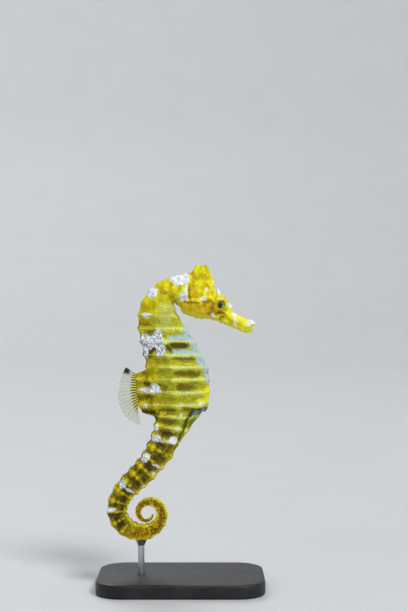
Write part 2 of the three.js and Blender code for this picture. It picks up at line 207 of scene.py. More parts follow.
# Degrees turned in each millimetre, at distances from the tail root.
TAIL_TURN = [(0, -2.2), (8, -0.8), (16, 3.8), (24, 7.8), (32, 6.0), (40, 7.3),
             (48, 12.2), (56, 13.5), (62, 19.2), (68, 26.4)]
TAIL_STEPS = 1360


def tail_rings():
    """The tail's stations from the tip up to the ring next to the root."""
    step = TAIL_LENGTH / TAIL_STEPS
    (x, z), heading = TAIL_START, math.radians(TAIL_HEADING)
    path = []
    for i in range(TAIL_STEPS + 1):
        path.append((x, z, heading))
        half_turn = math.radians(look_up(TAIL_TURN, (i + 0.5) * step)) * step / 2
        heading += half_turn
        x += math.cos(heading) * step
        z += math.sin(heading) * step
        heading += half_turn
    rings = []
    for ring in range(TAIL_RINGS, 0, -1):
        share = 1 - (1 - ring / TAIL_RINGS) ** RING_CROWDING
        x, z, heading = path[round(share * TAIL_STEPS)]
        depth = TAIL_TIP_DEPTH + (TAIL_ROOT_DEPTH - TAIL_TIP_DEPTH) * (1 - share ** TAIL_TAPER)
        dx, dz = math.sin(heading) * depth / 2, -math.cos(heading) * depth / 2
        rings.append((x + dx, z + dz, x - dx, z - dz, depth * WIDTH_SHARE))
    return rings


STATIONS = tail_rings() + TRUNK_RINGS + HEAD_STATIONS
TAIL_ROOT = TAIL_RINGS
NAPE = TAIL_ROOT + len(TRUNK_RINGS) - 1
LAST = len(STATIONS) - 1
SNOUT_ROOT = NAPE + 6.7
print(LAST + 1, "stations, the tail root is", TAIL_ROOT, "and the nape is", NAPE)

# %% [markdown]
# ## The shape of a section
#
# Cut across, the trunk has seven corners: a ridge low on each side of the back, one along
# each flank, one at each edge of the belly and a keel under it. The tail is square, the head
# a deep oval and the snout nearly round. Half of each section is enough, as a row of corners
# from the back to the belly: how far toward the back, in half depths, and how far out, in
# half widths. Between stations the corners blend, so one shape grows out of the next.

# %% Sections
CORNER_PLACES = (0, 0.05, 0.1, 1 / 6, 1 / 2, 5 / 6, 1)
BACK_RIDGE, FLANK_RIDGE, BELLY_RIDGE = 1 / 6, 1 / 2, 5 / 6
TAIL_SECTION = [(0.84, 0), (0.86, 0.25), (0.89, 0.5), (0.95, 0.92), (0, 0.88), (-0.96, 0.86), (-0.86, 0)]
TRUNK_SECTION = [(0.95, 0), (0.96, 0.14), (0.98, 0.26), (1, 0.42), (0.22, 1), (-0.72, 0.64), (-1, 0)]
HEAD_SECTION = [(1, 0), (0.99, 0.12), (0.96, 0.24), (0.86, 0.42), (-0.12, 1), (-0.8, 0.62), (-1, 0)]
SNOUT_SECTION = [(1, 0), (0.98, 0.2), (0.92, 0.4), (0.82, 0.6), (0, 1), (-0.8, 0.62), (-1, 0)]
SECTIONS = [
    (0, TAIL_SECTION),
    (TAIL_ROOT, TAIL_SECTION),
    (TAIL_ROOT + 5, TRUNK_SECTION),
    (NAPE - 4, TRUNK_SECTION),
    (NAPE, HEAD_SECTION),
    (NAPE + 5, HEAD_SECTION),
    (SNOUT_ROOT, SNOUT_SECTION),
]
CORNER_SOFTNESS = 0.022  # how far along the section a corner is rounded
print(len(SECTIONS), "sections, each with", len(CORNER_PLACES), "corners on a side")

# %% Rings and the base of the dorsal fin
RING_DIP = 0.05  # how far the plates sink in between two rings
RING_SHARPNESS = 1.6
RING_STRENGTH = [(14, 0.25), (22, 0.45), (TAIL_ROOT, 0.8), (TAIL_ROOT + 5, 0.7),
                 (NAPE - 5, 0.7), (NAPE - 2, 0.3), (NAPE, 0)]
# The fleshy base of the dorsal fin.
FIN_BASE_HEIGHT = 5.3
FIN_BASE_RISE = [(TAIL_ROOT + 3.9, 0), (TAIL_ROOT + 4.25, 1), (TAIL_ROOT + 5, 1.12),
                 (TAIL_ROOT + 7.45, 0.95), (TAIL_ROOT + 7.8, 0)]
FIN_BASE_EDGE, FIN_BASE_FOOT, FIN_BASE_SHOULDER = 0.09, 0.22, 0.97


def on_curve(column, station):
    """A column of the stations at any place between them, on a smooth curve through them."""
    i = min(int(station), LAST - 1)
    share = station - i
    b, c = STATIONS[i][column], STATIONS[i + 1][column]
    a = STATIONS[i - 1][column] if i > 0 else 2 * b - c
    d = STATIONS[i + 2][column] if i + 2 <= LAST else 2 * c - b
    bend = 2 * a - 5 * b + 4 * c - d + share * (3 * (b - c) + d - a)
    return b + 0.5 * share * (c - a + share * bend)


def section_at(station):
    """Everything about one section: its back and belly points, half width and corners."""
    back_x, back_z, belly_x, belly_z, half = [on_curve(column, station) for column in range(5)]
    half_depth = math.hypot(back_x - belly_x, back_z - belly_z) / 2
    strength = look_up(RING_STRENGTH, station)
    dip = RING_DIP * strength * (1 - abs(math.cos(math.pi * station)) ** RING_SHARPNESS)
    corners = [[back * (1 - dip), out * (1 - dip)] for back, out in look_up(SECTIONS, station)]
    rise = look_up(FIN_BASE_RISE, station)
    corners[0][0] += rise * FIN_BASE_HEIGHT / half_depth
    corners[1][0] += rise * FIN_BASE_HEIGHT * FIN_BASE_SHOULDER / half_depth
    corners[1][1] = blend(corners[1][1], FIN_BASE_EDGE, rise)
    corners[2][1] = blend(corners[2][1], FIN_BASE_FOOT, rise)
    return (back_x, back_z, belly_x, belly_z), half, half_depth, list(zip(CORNER_PLACES, corners))


def outline(corners, place):
    """A place on the half section, its corners rounded. Past either end it comes round again
    on the other side."""
    back = out = 0
    for offset, weight in ((-1, 0.25), (0, 0.5), (1, 0.25)):
        at = place + offset * CORNER_SOFTNESS
        side = -1 if at < 0 or at > 1 else 1
        at = -at if at < 0 else (2 - at if at > 1 else at)
        corner = look_up(corners, at)
        back += corner[0] * weight
        out += corner[1] * weight * side
    return back, out


sample = section_at(TAIL_ROOT + 7)
print("widest ring: half width", round(sample[1], 2), "half depth", round(sample[2], 2))

# %% [markdown]
# ## The skin
#
# On the real animal one thin skin covers plates, snout and coronet alike, so here too the
# whole body is a single grid, 108 faces round and several hundred along. A remesh of the
# frame's solids would also give one surface, but it would lose the directions along and
# round the body, which the ridges, the tubercles and the markings all follow. Those two
# directions are kept on the mesh as attributes for the material. The rows stand closer
# together on the head, where the form changes fastest, and the grid's own map serves for
# the texture bake.

# %% Rows of the skin
AROUND = 108
ROWS_PER_STATION = [(0, 4), (8, 5), (16, 9), (TAIL_ROOT, 14), (NAPE - 4, 17), (NAPE, 22), (LAST, 22)]
MOUTH_DEPTH = 1.1
# Inside the lips the rows turn back into the mouth: how wide, and how far in.
MOUTH_ROWS = [(0.86, -0.12), (0.66, 0.0), (0.52, 0.3), (0.46, 0.8), (0.3, 1.0), (0.0, 1.0)]


def skin_rows():
    """The station of each row of the skin from the tip of the tail to the lips."""
    rows = [0.0]
    while rows[-1] < LAST:
        rows.append(rows[-1] + 1 / look_up(ROWS_PER_STATION, rows[-1]))
    rows[-1] = float(LAST)
    return rows


SKIN_ROWS = skin_rows()
SECTION_ROWS = [section_at(station) for station in SKIN_ROWS]
GRID_ROWS = len(SKIN_ROWS) + len(MOUTH_ROWS)
print(GRID_ROWS, "rows on", AROUND, "columns")


# %% Wrap the grid round the body
def skin_place(across, along):
    """The skin's point at a share of the way round and along, in millimetres."""
    row = round(along * GRID_ROWS) - 1
    section = SECTION_ROWS[max(0, min(row, len(SKIN_ROWS) - 1))]
    (back_x, back_z, belly_x, belly_z), half, _, corners = section
    centre = Vector(((back_x + belly_x) / 2, 0, (back_z + belly_z) / 2))
    if row < 0:
        return centre
    side, place = (1, 2 * across) if across <= 0.5 else (-1, 2 - 2 * across)
    back, out = outline(corners, place)
    point = Vector((
        blend(belly_x, back_x, (back + 1) / 2),
        side * out * half,
        blend(belly_z, back_z, (back + 1) / 2),
    ))
    if row >= len(SKIN_ROWS):
        width, inward = MOUTH_ROWS[row - len(SKIN_ROWS)]
        point = centre + (point - centre) * width
        point.x -= inward * MOUTH_DEPTH
    return point


upper_lip = skin_place(0, len(SKIN_ROWS) / GRID_ROWS)
print("the upper lip is at", [round(part, 1) for part in upper_lip])

# %% Make the grid and keep its directions
skin_bm = bmesh.new()
uv_layer = skin_bm.loops.layers.uv.new("OFBake")
station_layer = skin_bm.verts.layers.float.new("station")
round_layer = skin_bm.verts.layers.float.new("round")
relief_layer = skin_bm.verts.layers.float.new("relief")
wrapped_grid(skin_bm, AROUND, GRID_ROWS, skin_place)
for face in skin_bm.faces:
    for loop in face.loops:
        across, along = loop[uv_layer].uv
        row = round(along * GRID_ROWS) - 1
        loop.vert[station_layer] = SKIN_ROWS[max(0, min(row, len(SKIN_ROWS) - 1))]
        loop.vert[round_layer] = 1 - abs(1 - 2 * across)
closed_up(skin_bm)
print("skin:", len(skin_bm.verts), "points")

# %% [markdown]
# ## Relief
#
# The second pass moves every point of the skin a little along its own normal. A narrow rib
# marks each bony ring, and a knob stands where a rib crosses a ridge. The head has its gill
# cover, a low dome with a crease round it, the furrow behind the skull and a brow over the
# eye. The brood pouch of the male is parted from the trunk by a furrow as well. A sculpted
# map could do this, but a rule keeps each knob on its own ring and shows in the mesh, so the
# exported model keeps it.

# %% Sizes of the relief, in millimetres
RIB_HEIGHT, RIB_WIDTH = 0.2, 0.42
KNOB_HEIGHT, KNOB_RADIUS = 0.5, 0.85
GILL_COVER = (5.8, 100.9, 7.9, 3.4, -8)  # an oval: x, z, half length, half height, slope
GILL_DOME, GILL_CREASE = 0.75, 0.4
GILL_FLAT, GILL_EDGE = 0.2, 1.0  # shares of the oval where the dome begins to fall and ends
GILL_CREASE_AT, GILL_CREASE_WIDTH = 1.04, 0.35
# Furrows and low ridges on each side, as (points in x and z, half width, height).
CREASES = [
    ([(3.2, 109.4), (2.8, 107.0), (2.9, 104.6), (3.4, 103.4)], 0.35, -0.45),
    ([(4.6, 64.0), (2.4, 61.4), (1.0, 58.0), (-0.4, 53.6), (-2.6, 48.6)], 0.5, -0.8),
    ([(13.2, 104.8), (11.4, 106.8), (9.6, 110.2)], 0.7, 0.45),
    ([(15.8, 99.4), (19.0, 97.4), (24.4, 94.9)], 0.6, 0.14),
    ([(25.9, 94.1), (22.6, 93.2)], 0.3, -0.16),
]
LUMP_SIZE = 1.7
LUMP_HEIGHTS = [(TAIL_ROOT, 0.08), (NAPE - 5, 0.15), (NAPE - 2, 0.4),
                (NAPE + 5, 0.6), (SNOUT_ROOT, 0.15)]
# The skin swells into a low mound round the foot of the coronet.
MOUND_X, MOUND_HEIGHT, MOUND_RADIUS, MOUND_STRETCH = 7.4, 0.3, 2.2, 1.5
FULL_RING = 3.2  # rings closer together than this have smaller knobs
SMALLEST_KNOB = 0.35  # the share of the radius that a knob keeps on the closest rings
print("knobs rise", KNOB_HEIGHT + RIB_HEIGHT, "mm, the gill cover", GILL_DOME, "mm")


# %% Distances on the skin
def spacing_at(station):
    """How far apart two rings are at a station, and how far it is round half a section."""
    ring = min(LAST - 1, int(station))
    here, there = STATIONS[ring], STATIONS[ring + 1]
    apart = math.dist(((here[0] + here[2]) / 2, (here[1] + here[3]) / 2),
                      ((there[0] + there[2]) / 2, (there[1] + there[3]) / 2))
    _, half, half_depth, _ = section_at(station)
    return apart, math.pi / 2 * (half + half_depth)


def distance_to_line(points, x, z):
    """How far x, z is from a line through some points."""
    best = math.inf
    for (ax, az), (bx, bz) in zip(points, points[1:]):
        length = (bx - ax) ** 2 + (bz - az) ** 2
        share = min(1, max(0, ((x - ax) * (bx - ax) + (z - az) * (bz - az)) / length))
        best = min(best, math.hypot(x - blend(ax, bx, share), z - blend(az, bz, share)))
    return best


def in_oval(oval, x, z):
    """0 in the middle of an oval and 1 at its edge."""
    centre_x, centre_z, long, short, slope = oval
    turn = math.radians(slope)
    dx, dz = x - centre_x, z - centre_z
    return math.hypot(
        (dx * math.cos(turn) + dz * math.sin(turn)) / long,
        (dz * math.cos(turn) - dx * math.sin(turn)) / short,
    )


print("half way round the widest ring is", round(spacing_at(TAIL_ROOT + 7)[1], 1), "mm")


# %% The height of the relief
def armour(station, place, apart, girth):
    """The height of the ribs and knobs of the rings."""
    strength = look_up(RING_STRENGTH, station)
    if strength == 0:
        return 0
    off_rib = (station - round(station)) * apart
    small = min(1, apart / FULL_RING)
    height = RIB_HEIGHT * small * hump(off_rib, RIB_WIDTH * small)
    for ridge in (BACK_RIDGE, FLANK_RIDGE, BELLY_RIDGE):
        off_knob = math.hypot(off_rib, (place - ridge) * girth)
        height += KNOB_HEIGHT * small * hump(off_knob, KNOB_RADIUS * blend(SMALLEST_KNOB, 1, small))
    throat = soft_step(NAPE - 6, NAPE - 3, station) * soft_step(0.3, 0.5, place)
    return height * strength * (1 - throat)


def relief(point, normal, station, place, apart, girth):
    """How far the skin stands out at a point, in millimetres."""
    x, _, z = point
    height = armour(station, place, apart, girth)
    height += look_up(LUMP_HEIGHTS, station) * noise.noise(point / LUMP_SIZE)
    if station > NAPE:
        from_mound = math.hypot((x - MOUND_X) / MOUND_STRETCH, point.y)
        height += MOUND_HEIGHT * hump(from_mound, MOUND_RADIUS) * soft_step(0.2, 0.8, normal.z)
    sideways = soft_step(0.15, 0.55, abs(normal.y))
    if sideways > 0:
        for points, half_width, rise in CREASES:
            height += sideways * rise * hump(distance_to_line(points, x, z), half_width)
        if station > NAPE - 3:
            out = in_oval(GILL_COVER, x, z)
            height += sideways * GILL_DOME * (1 - soft_step(GILL_FLAT, GILL_EDGE, out))
            off_crease = (out - GILL_CREASE_AT) * GILL_COVER[3]
            height -= sideways * GILL_CREASE * hump(off_crease, GILL_CREASE_WIDTH)
    return height


# %% Raise the relief
def move_along_normals(bm):
    """Gives every point of the skin its relief, and returns the highest and the lowest."""
    bm.normal_update()
    spacings = {}
    heights = []
    for vert in bm.verts:
        station = vert[station_layer]
        if station not in spacings:
            spacings[station] = spacing_at(station)
        point = vert.co / MM
        heights.append(relief(point, vert.normal, station, vert[round_layer], *spacings[station]))
    for vert, height in zip(bm.verts, heights):
        vert.co += vert.normal * height * MM
        vert[relief_layer] = height
    return max(heights), min(heights)


highest, lowest = move_along_normals(skin_bm)
print("relief from", round(lowest, 2), "to", round(highest, 2), "mm")

# %% [markdown]
# ## Eye sockets and mouth
#
# Each eye sits in a low turret of skin, and the skin's edge lies on the eyeball. Cutting a
# hole would leave a ragged edge in the grid, so the skin is pressed in behind the eyeball
# instead and raised in a rim round it. The mouth is a short slit between the lips at the
# very end of the snout.

# %% Places of the eyes and the mouth
EYE_CENTRE = Vector((14.3, 2.15, 101.9))
EYE_RADIUS = 1.7
SOCKET_OPEN, SOCKET_RIM, SOCKET_REACH = 0.95, 1.75, 3.3  # radii of the hollow, rim and turret
SOCKET_HIDE = 0.5  # how far the skin keeps behind the eyeball's surface
SOCKET_SINK = 0.12  # how far the rim stays below the eyeball's top
SLIT_FROM, SLIT_TO = 25.0, 26.8
SLIT_HEIGHT = 94.35
SLIT_HALF = 0.28
SLIT_DEPTH = 0.8
SLIT_PINCH = 0.5  # how much narrower the lips are at the slit
print("the slit of the mouth is", round(SLIT_TO - SLIT_FROM, 1), "mm long")


# %% Press in the eye sockets and part the lips
def press_socket(vert):
    """Shapes the skin round an eye: a rim, and inside it a hollow behind the eyeball."""
    point = vert.co / MM
    away = math.hypot(point.x - EYE_CENTRE.x, point.z - EYE_CENTRE.z)
    if away > SOCKET_REACH:
        return
    side = 1 if point.y > 0 else -1
    rim_top = EYE_CENTRE.y + EYE_RADIUS - SOCKET_SINK
    hollow = EYE_CENTRE.y + math.sqrt(max(0, EYE_RADIUS ** 2 - away ** 2)) - SOCKET_HIDE
    if away < SOCKET_RIM:
        out = blend(hollow, rim_top, soft_step(SOCKET_OPEN, SOCKET_RIM, away))
    else:
        out = blend(rim_top, abs(point.y), soft_step(SOCKET_RIM, SOCKET_REACH, away))
    vert.co.y = side * out * MM


def part_lips(vert):
    """Draws the skin back along the slit of the mouth."""
    point = vert.co / MM
    if point.x < SLIT_FROM:
        return
    slit = hump(point.z - SLIT_HEIGHT, SLIT_HALF) * soft_step(SLIT_FROM, SLIT_TO, point.x)
    vert.co.x -= slit * SLIT_DEPTH * MM
    vert.co.y *= 1 - SLIT_PINCH * slit


for vert in skin_bm.verts:
    if vert[station_layer] > NAPE:
        press_socket(vert)
        part_lips(vert)
print("eye sockets at x", EYE_CENTRE.x, "and z", EYE_CENTRE.z)

# %% [markdown]
# ## A notch for the anal fin
#
# The smallest fin of a seahorse stands under the belly, in the corner between the last ring
# of the trunk and the brood pouch. The corner is cut too sharply into the outline for the
# rings to follow it. A boolean could cut it, but would break up the grid. So the points that
# lie in the notch are moved straight in to its walls.

# %% Fold in the notch
FIN_NOTCH = [(5.0, 64.5), (11.0, 65.3), (10.2, 62.7)]  # its corners, the innermost first


def notch(vert):
    """Moves a point out of the notch of the anal fin, straight in to the notch's walls."""
    (apex_x, apex_z), *mouth = FIN_NOTCH
    middle_x, middle_z = (mouth[0][0] + mouth[1][0]) / 2, (mouth[0][1] + mouth[1][1]) / 2
    inward_x, inward_z = apex_x - middle_x, apex_z - middle_z
    dx, dz = vert.co.x / MM - apex_x, vert.co.z / MM - apex_z
    travel = math.inf
    for corner_x, corner_z in mouth:
        wall_x, wall_z = corner_x - apex_x, corner_z - apex_z
        toward = wall_x * inward_z - wall_z * inward_x
        ahead = (wall_z * dx - wall_x * dz) / toward
        if ahead <= 0:
            return
        travel = min(travel, ahead)
    vert.co.x += travel * inward_x * MM
    vert.co.z += travel * inward_z * MM


for vert in skin_bm.verts:
    if TAIL_ROOT + 3 < vert[station_layer] < TAIL_ROOT + 6:
        notch(vert)
print("the notch is", round(math.dist(FIN_NOTCH[1], FIN_NOTCH[2]), 1), "mm wide at its mouth")

# %% [markdown]
# ## Coronet and spines
#
# On top of the head stands the coronet, a small bony crown of five blunt points that differs
# from one seahorse to the next. A few short spines stand at the nose, over the eye and under
# the cheek. All of them are part of the skin, so they join its mesh, and their feet flare
# into it. Each is a small grid turned round its own axis, and its patch of the bake map lies
# beside the body's.

# %% Spines and coronet
BODY_SHARE = 0.92  # the part of the bake map that the body takes
CORONET_PLACE = Vector((7.1, 0, 110.8))
CORONET_HEIGHT = 5.1
CORONET_POINTS = 5
CORONET_STRETCH = 1.45  # how much longer than wide it is
POINT_FROM, POINT_TO = 0.4, 0.95  # shares of the height over which the points grow
POINT_RISE, POINT_FLARE = 0.12, 0.25
# Share of the height and the radius in millimetres, from below the skin to inside the bowl.
CORONET_PROFILE = [(-0.35, 2.2), (0.0, 2.6), (0.28, 2.6), (0.45, 2.35), (0.58, 2.15), (0.67, 1.95),
                   (0.76, 1.65), (0.85, 1.35), (0.93, 1.12), (0.98, 0.95), (0.99, 0.75), (0.94, 0.55),
                   (0.87, 0.3), (0.85, 0.0)]
CORONET_COLUMNS, SPINE_COLUMNS = 60, 20
# Share of the length and of the radius, from below the skin to the tip.
SPINE_PROFILE = [(-0.5, 1.9), (-0.15, 1.45), (0.1, 1.0), (0.4, 0.68), (0.7, 0.45), (0.92, 0.3), (1.0, 0.0)]
# x, y, z, lean from upright in degrees, length, radius.
SPINES = [
    (13.6, 2.0, 105.0, -8, 2.8, 1.1),
    (15.2, 1.3, 103.2, 22, 2.2, 0.9),
    (17.3, 0.0, 101.0, 40, 1.7, 1.0),
    (14.5, 1.4, 96.6, 180, 1.5, 0.7),
    (11.2, 3.3, 98.4, 150, 1.2, 0.7),
]
PATCHES = 1 + sum(2 if spine[1] else 1 for spine in SPINES)  # the coronet's, then the spines'
PATCH_GAP, PATCH_FOOT = 0.1, 0.01  # room left round a patch
patches = 0
print(PATCHES, "patches beside the body on the bake map")


# %% A form turned round its own axis
def turned(bm, columns, profile, shape, foot, lean, stretch=1):
    """Adds a form turned round an axis that leaves foot at a lean toward +X. shape(angle,
    share, radius) may change the height and radius. Its patch on the bake map is the next."""
    global patches
    matrix = Matrix.Translation(foot) @ Matrix.Rotation(math.radians(lean), 4, "Y")
    matrix = matrix @ Matrix.Diagonal((stretch, 1, 1, 1))

    def place(across, along):
        height, radius = profile[round(along * (len(profile) - 1))]
        angle = across * math.tau
        height, radius = shape(angle, height, radius)
        return matrix @ Vector((radius * math.cos(angle), radius * math.sin(angle), height))

    fresh = wrapped_grid(bm, columns, len(profile) - 1, place)
    for face in {face for vert in fresh for face in vert.link_faces}:
        for loop in face.loops:
            across, along = loop[uv_layer].uv
            side = (patches + blend(PATCH_GAP, 1 - PATCH_GAP, across)) / PATCHES
            loop[uv_layer].uv = (side, blend(BODY_SHARE + PATCH_FOOT, 1 - PATCH_FOOT, along))
    for vert in fresh:
        vert[station_layer] = NAPE + 4
        vert[round_layer] = 0.0
    patches += 1


for face in skin_bm.faces:
    for loop in face.loops:
        loop[uv_layer].uv.y *= BODY_SHARE
print("the body takes", BODY_SHARE, "of the bake map")


# %% Set the coronet and the spines on the head
def crown(angle, height, radius):
    """The coronet's wall: its points rise and flare out toward the rim."""
    point = 0.5 + 0.5 * math.cos(CORONET_POINTS * angle)
    rise = soft_step(POINT_FROM, POINT_TO, height) * point
    return (height + POINT_RISE * rise) * CORONET_HEIGHT, radius * (1 + POINT_FLARE * rise)


turned(skin_bm, CORONET_COLUMNS, CORONET_PROFILE, crown, CORONET_PLACE, 0, CORONET_STRETCH)
for x, y, z, lean, length, radius in SPINES:
    for side in ((1, -1) if y else (1,)):
        turned(skin_bm, SPINE_COLUMNS, SPINE_PROFILE,
               lambda angle, height, width: (height * length, width * radius),
               Vector((x, side * y, z)), lean)
closed_up(skin_bm)
print(patches, "forms stand on the head")

# %% The finished skin
skin = finished(skin_bm, "skin")
NOT_FLESH = ("stand_", "eye_", "dorsal_fin", "pectoral_fin", "anal_fin")
FLESH = [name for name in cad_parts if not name.startswith(NOT_FLESH)]
print("the skin stands for", FLESH)
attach(skin, "root")
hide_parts(*FLESH)

# %% [markdown]
# ## Where the markings lie
#
# The blotches, bars and shades of this animal are its own, and they cross rings and ridges
# freely. Three groups are painted light instead: painted shade in the furrow behind the skull
# and in the furrow of the pouch, and painted highlights along the edges of the belly and under
# the jaw. Each is set down as an oval in the side view. A painted picture would do the same,
# but ovals are few, can be moved one by one, and have no pixels. How far a point of the skin
# lies outside the nearest oval of a group is kept on the mesh, one attribute for each group,
# and the material frays those edges.

# %% Ovals of the markings
# Each is x, z, half length and half height in millimetres, and slope in degrees.
MARKINGS = {
    "white": [
        (-0.3, 111.4, 3.2, 2.5, 0), (2.0, 106.6, 0.4, 3.6, 2), (0.6, 104.6, 1.0, 1.2, 30),
        (-10.1, 106.3, 1.9, 1.8, 45), (-12.4, 98.2, 1.8, 0.8, 0), (-12.6, 88.6, 4.2, 2.6, 0),
        (-8.2, 89.6, 1.7, 3.8, 0), (-13.2, 84.6, 1.5, 2.8, -8), (-7.4, 85.6, 1.6, 2.2, 0),
        (-11.0, 71.2, 4.0, 0.9, -4), (-9.0, 72.6, 1.4, 1.1, 0), (-12.6, 65.6, 1.0, 0.6, 20),
        (-8.8, 54.0, 2.0, 1.1, -10), (-2.7, 53.3, 1.5, 1.4, 0), (-5.8, 53.0, 3.0, 0.5, -6),
        (-8.6, 57.8, 0.6, 1.5, 0), (-12.6, 47.2, 1.8, 1.4, 30), (-8.8, 44.2, 1.9, 0.4, -25),
        (-20.9, 37.6, 1.1, 1.6, 20), (-18.3, 35.3, 2.2, 0.4, -30), (-25.0, 28.4, 1.9, 0.7, 4),
        (8.0, 104.3, 1.3, 0.65, -12), (11.3, 98.2, 0.6, 0.8, 30), (17.9, 101.8, 1.0, 1.0, -40),
        (13.6, 107.2, 0.9, 1.7, -8), (25.6, 95.9, 1.5, 0.9, -6), (26.6, 93.2, 0.7, 0.5, 0),
        (14.6, 94.8, 0.4, 0.6, 0), (19.3, 98.6, 0.7, 0.6, -30),
    ],
    "spots": [
        (0.0, 66.3, 0.6, 0.5, 0), (-8.3, 66.1, 0.5, 0.5, 0), (0.0, 62.5, 0.55, 0.6, 0),
        (-1.1, 57.8, 0.6, 0.8, 0), (7.6, 66.7, 0.9, 0.5, 0), (19.6, 95.9, 0.5, 2.0, 4),
        (13.6, 103.8, 0.4, 0.35, 0), (14.7, 103.8, 0.4, 0.35, 0), (-1.5, 49.0, 0.8, 0.7, 0),
        (-13.4, 36.4, 0.6, 0.8, 30), (-9.8, 41.6, 0.6, 0.6, 0), (9.2, 107.6, 0.7, 0.6, 0),
        (24.2, 94.8, 0.7, 1.0, 0),
    ],
    "strong_bars": [
        (-0.9, 87.5, 3.8, 1.3, -3), (-4.2, 86.0, 0.8, 1.6, 20), (-8.8, 86.2, 2.2, 1.5, 0),
        (-11.0, 84.6, 1.6, 1.2, 30), (-12.2, 73.4, 1.0, 0.9, 0), (-11.4, 63.4, 3.0, 0.9, -4),
        (-9.0, 61.6, 1.2, 1.6, 0), (-5.0, 56.0, 2.2, 1.0, -8), (-25.2, 26.8, 1.9, 0.35, 0),
    ],
    "soft_bars": [
        (-10.5, 92.4, 1.8, 1.0, 0), (-13.0, 68.8, 3.2, 0.9, 6), (4.6, 74.6, 1.6, 0.8, -20),
        (2.2, 77.3, 4.8, 1.3, -2), (1.6, 72.4, 3.6, 1.6, 0), (-7.8, 73.2, 1.1, 0.7, 0),
        (-5.8, 71.8, 1.0, 0.9, 0), (-4.6, 64.2, 3.2, 0.7, 0), (-4.6, 60.2, 3.2, 1.3, -4),
        (3.2, 64.6, 4.0, 1.0, -20), (1.2, 82.8, 4.2, 0.9, -2), (-12.4, 94.9, 2.4, 0.4, -6),
    ],
    "chest": [
        (4.0, 91.0, 2.6, 5.2, 27), (7.2, 84.0, 2.3, 5.6, 22), (9.4, 78.0, 1.1, 5.0, 8),
        (0.0, 90.2, 4.6, 0.9, 0), (2.0, 85.0, 6.0, 0.8, -3),
    ],
    "gill_orange": [(6.2, 100.6, 8.8, 2.4, -9), (10.4, 101.4, 2.6, 2.2, 0)],
    "gill_shade": [
        (3.6, 102.8, 3.2, 0.3, -4), (11.4, 101.6, 0.7, 1.8, 10), (9.2, 102.9, 2.0, 0.45, 0),
        (14.6, 99.2, 1.6, 0.3, 0),
    ],
    # painted shade in the furrow behind the skull
    "skull_furrow_shade": [(2.9, 106.4, 0.35, 3.0, 0)],
    # painted shade in the furrow that parts the pouch from the trunk
    "pouch_furrow_shade": [
        (3.2, 62.2, 0.45, 1.7, -34), (1.5, 58.9, 0.4, 3.2, -18), (-0.8, 53.6, 0.3, 2.8, -20),
    ],
    "pouch_green": [(4.0, 60.2, 0.9, 2.6, -36)],
    "slate": [(5.6, 63.4, 2.8, 0.75, 24), (8.0, 63.9, 1.6, 0.5, 20)],
    # painted highlights along the edges of the belly and under the jaw
    "edge_highlights": [(9.6, 69.6, 1.2, 3.0, 0), (7.6, 67.6, 2.2, 0.7, 10), (4.4, 98.2, 5.0, 0.5, -14)],
    "collar": [(0.3, 105.2, 1.1, 3.0, -28)],
    "throat": [(-2.4, 99.6, 3.2, 4.6, 10)],
    "eye_shade": [(14.3, 101.9, 1.8, 1.8, 0)],
}
FAR = 2.0  # distances past this are all alike
print(sum(map(len, MARKINGS.values())), "ovals in", len(MARKINGS), "groups")


# %% Keep the distances on the skin
def beyond(ovals, x, z):
    """How far outside the nearest of some ovals x, z is, in millimetres. Less than 0 inside."""
    nearest = FAR
    for oval in ovals:
        dx, dz = abs(x - oval[0]), abs(z - oval[1])
        if max(dx, dz) < max(oval[2], oval[3]) + FAR:
            nearest = min(nearest, math.hypot(dx, dz) * (1 - 1 / max(in_oval(oval, x, z), 0.001)))
    return nearest


for name, ovals in MARKINGS.items():
    distances = [beyond(ovals, vert.co.x / MM, vert.co.z / MM) for vert in skin.data.vertices]
    skin.data.attributes.new(name, "FLOAT", "POINT").data.foreach_set("value", distances)
    print(name + ":", sum(distance < 0 for distance in distances), "points inside")

# %% [markdown]
# ## Eyes
#
# A seahorse's eyes turn separately, each a dark pupil in a ring of gold and green. The glassy
# front bulges a little, which gives the highlight its place.

# %% Eyeballs
CORNEA_FLAT, CORNEA_RADIUS = 0.3, 0.95
CORNEA_BULGE = 0.14
BALL_COLUMNS, BALL_ROWS = 64, 32
for side, node in ((1, "eye_left"), (-1, "eye_right")):
    eye_bm = bmesh.new()
    bmesh.ops.create_uvsphere(eye_bm, u_segments=BALL_COLUMNS, v_segments=BALL_ROWS,
                              radius=EYE_RADIUS * MM)
    bmesh.ops.rotate(eye_bm, verts=eye_bm.verts, matrix=Matrix.Rotation(math.pi / 2, 3, "X"))
    for vert in eye_bm.verts:
        away = math.hypot(vert.co.x, vert.co.z) / MM
        if vert.co.y * side > 0:
            bulge = CORNEA_BULGE * (1 - soft_step(CORNEA_FLAT, CORNEA_RADIUS, away))
            vert.co.y += side * bulge * MM
    middle = Vector((EYE_CENTRE.x, side * EYE_CENTRE.y, EYE_CENTRE.z))
    bmesh.ops.translate(eye_bm, verts=eye_bm.verts, vec=middle * MM)
    bmesh.ops.recalc_face_normals(eye_bm, faces=eye_bm.faces)
    eye = finished(eye_bm, node + "_ball")
    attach(eye, "root")
    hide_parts(node)

# %% [markdown]
# ## Fins
#
# A seahorse swims with its dorsal fin and steers with two small pectoral fins behind the
# cheeks. A fin is a fan of soft rays with clear skin between them. It could be a flat sheet
# with rays painted on, but a real one is thicker at each ray, so here a grid goes out over
# one face of the fan and back over the other, and stands apart where a ray runs. The number
# of each ray and the place along it are kept as attributes, so the material can draw the
# rays, their joints and the clear skin.

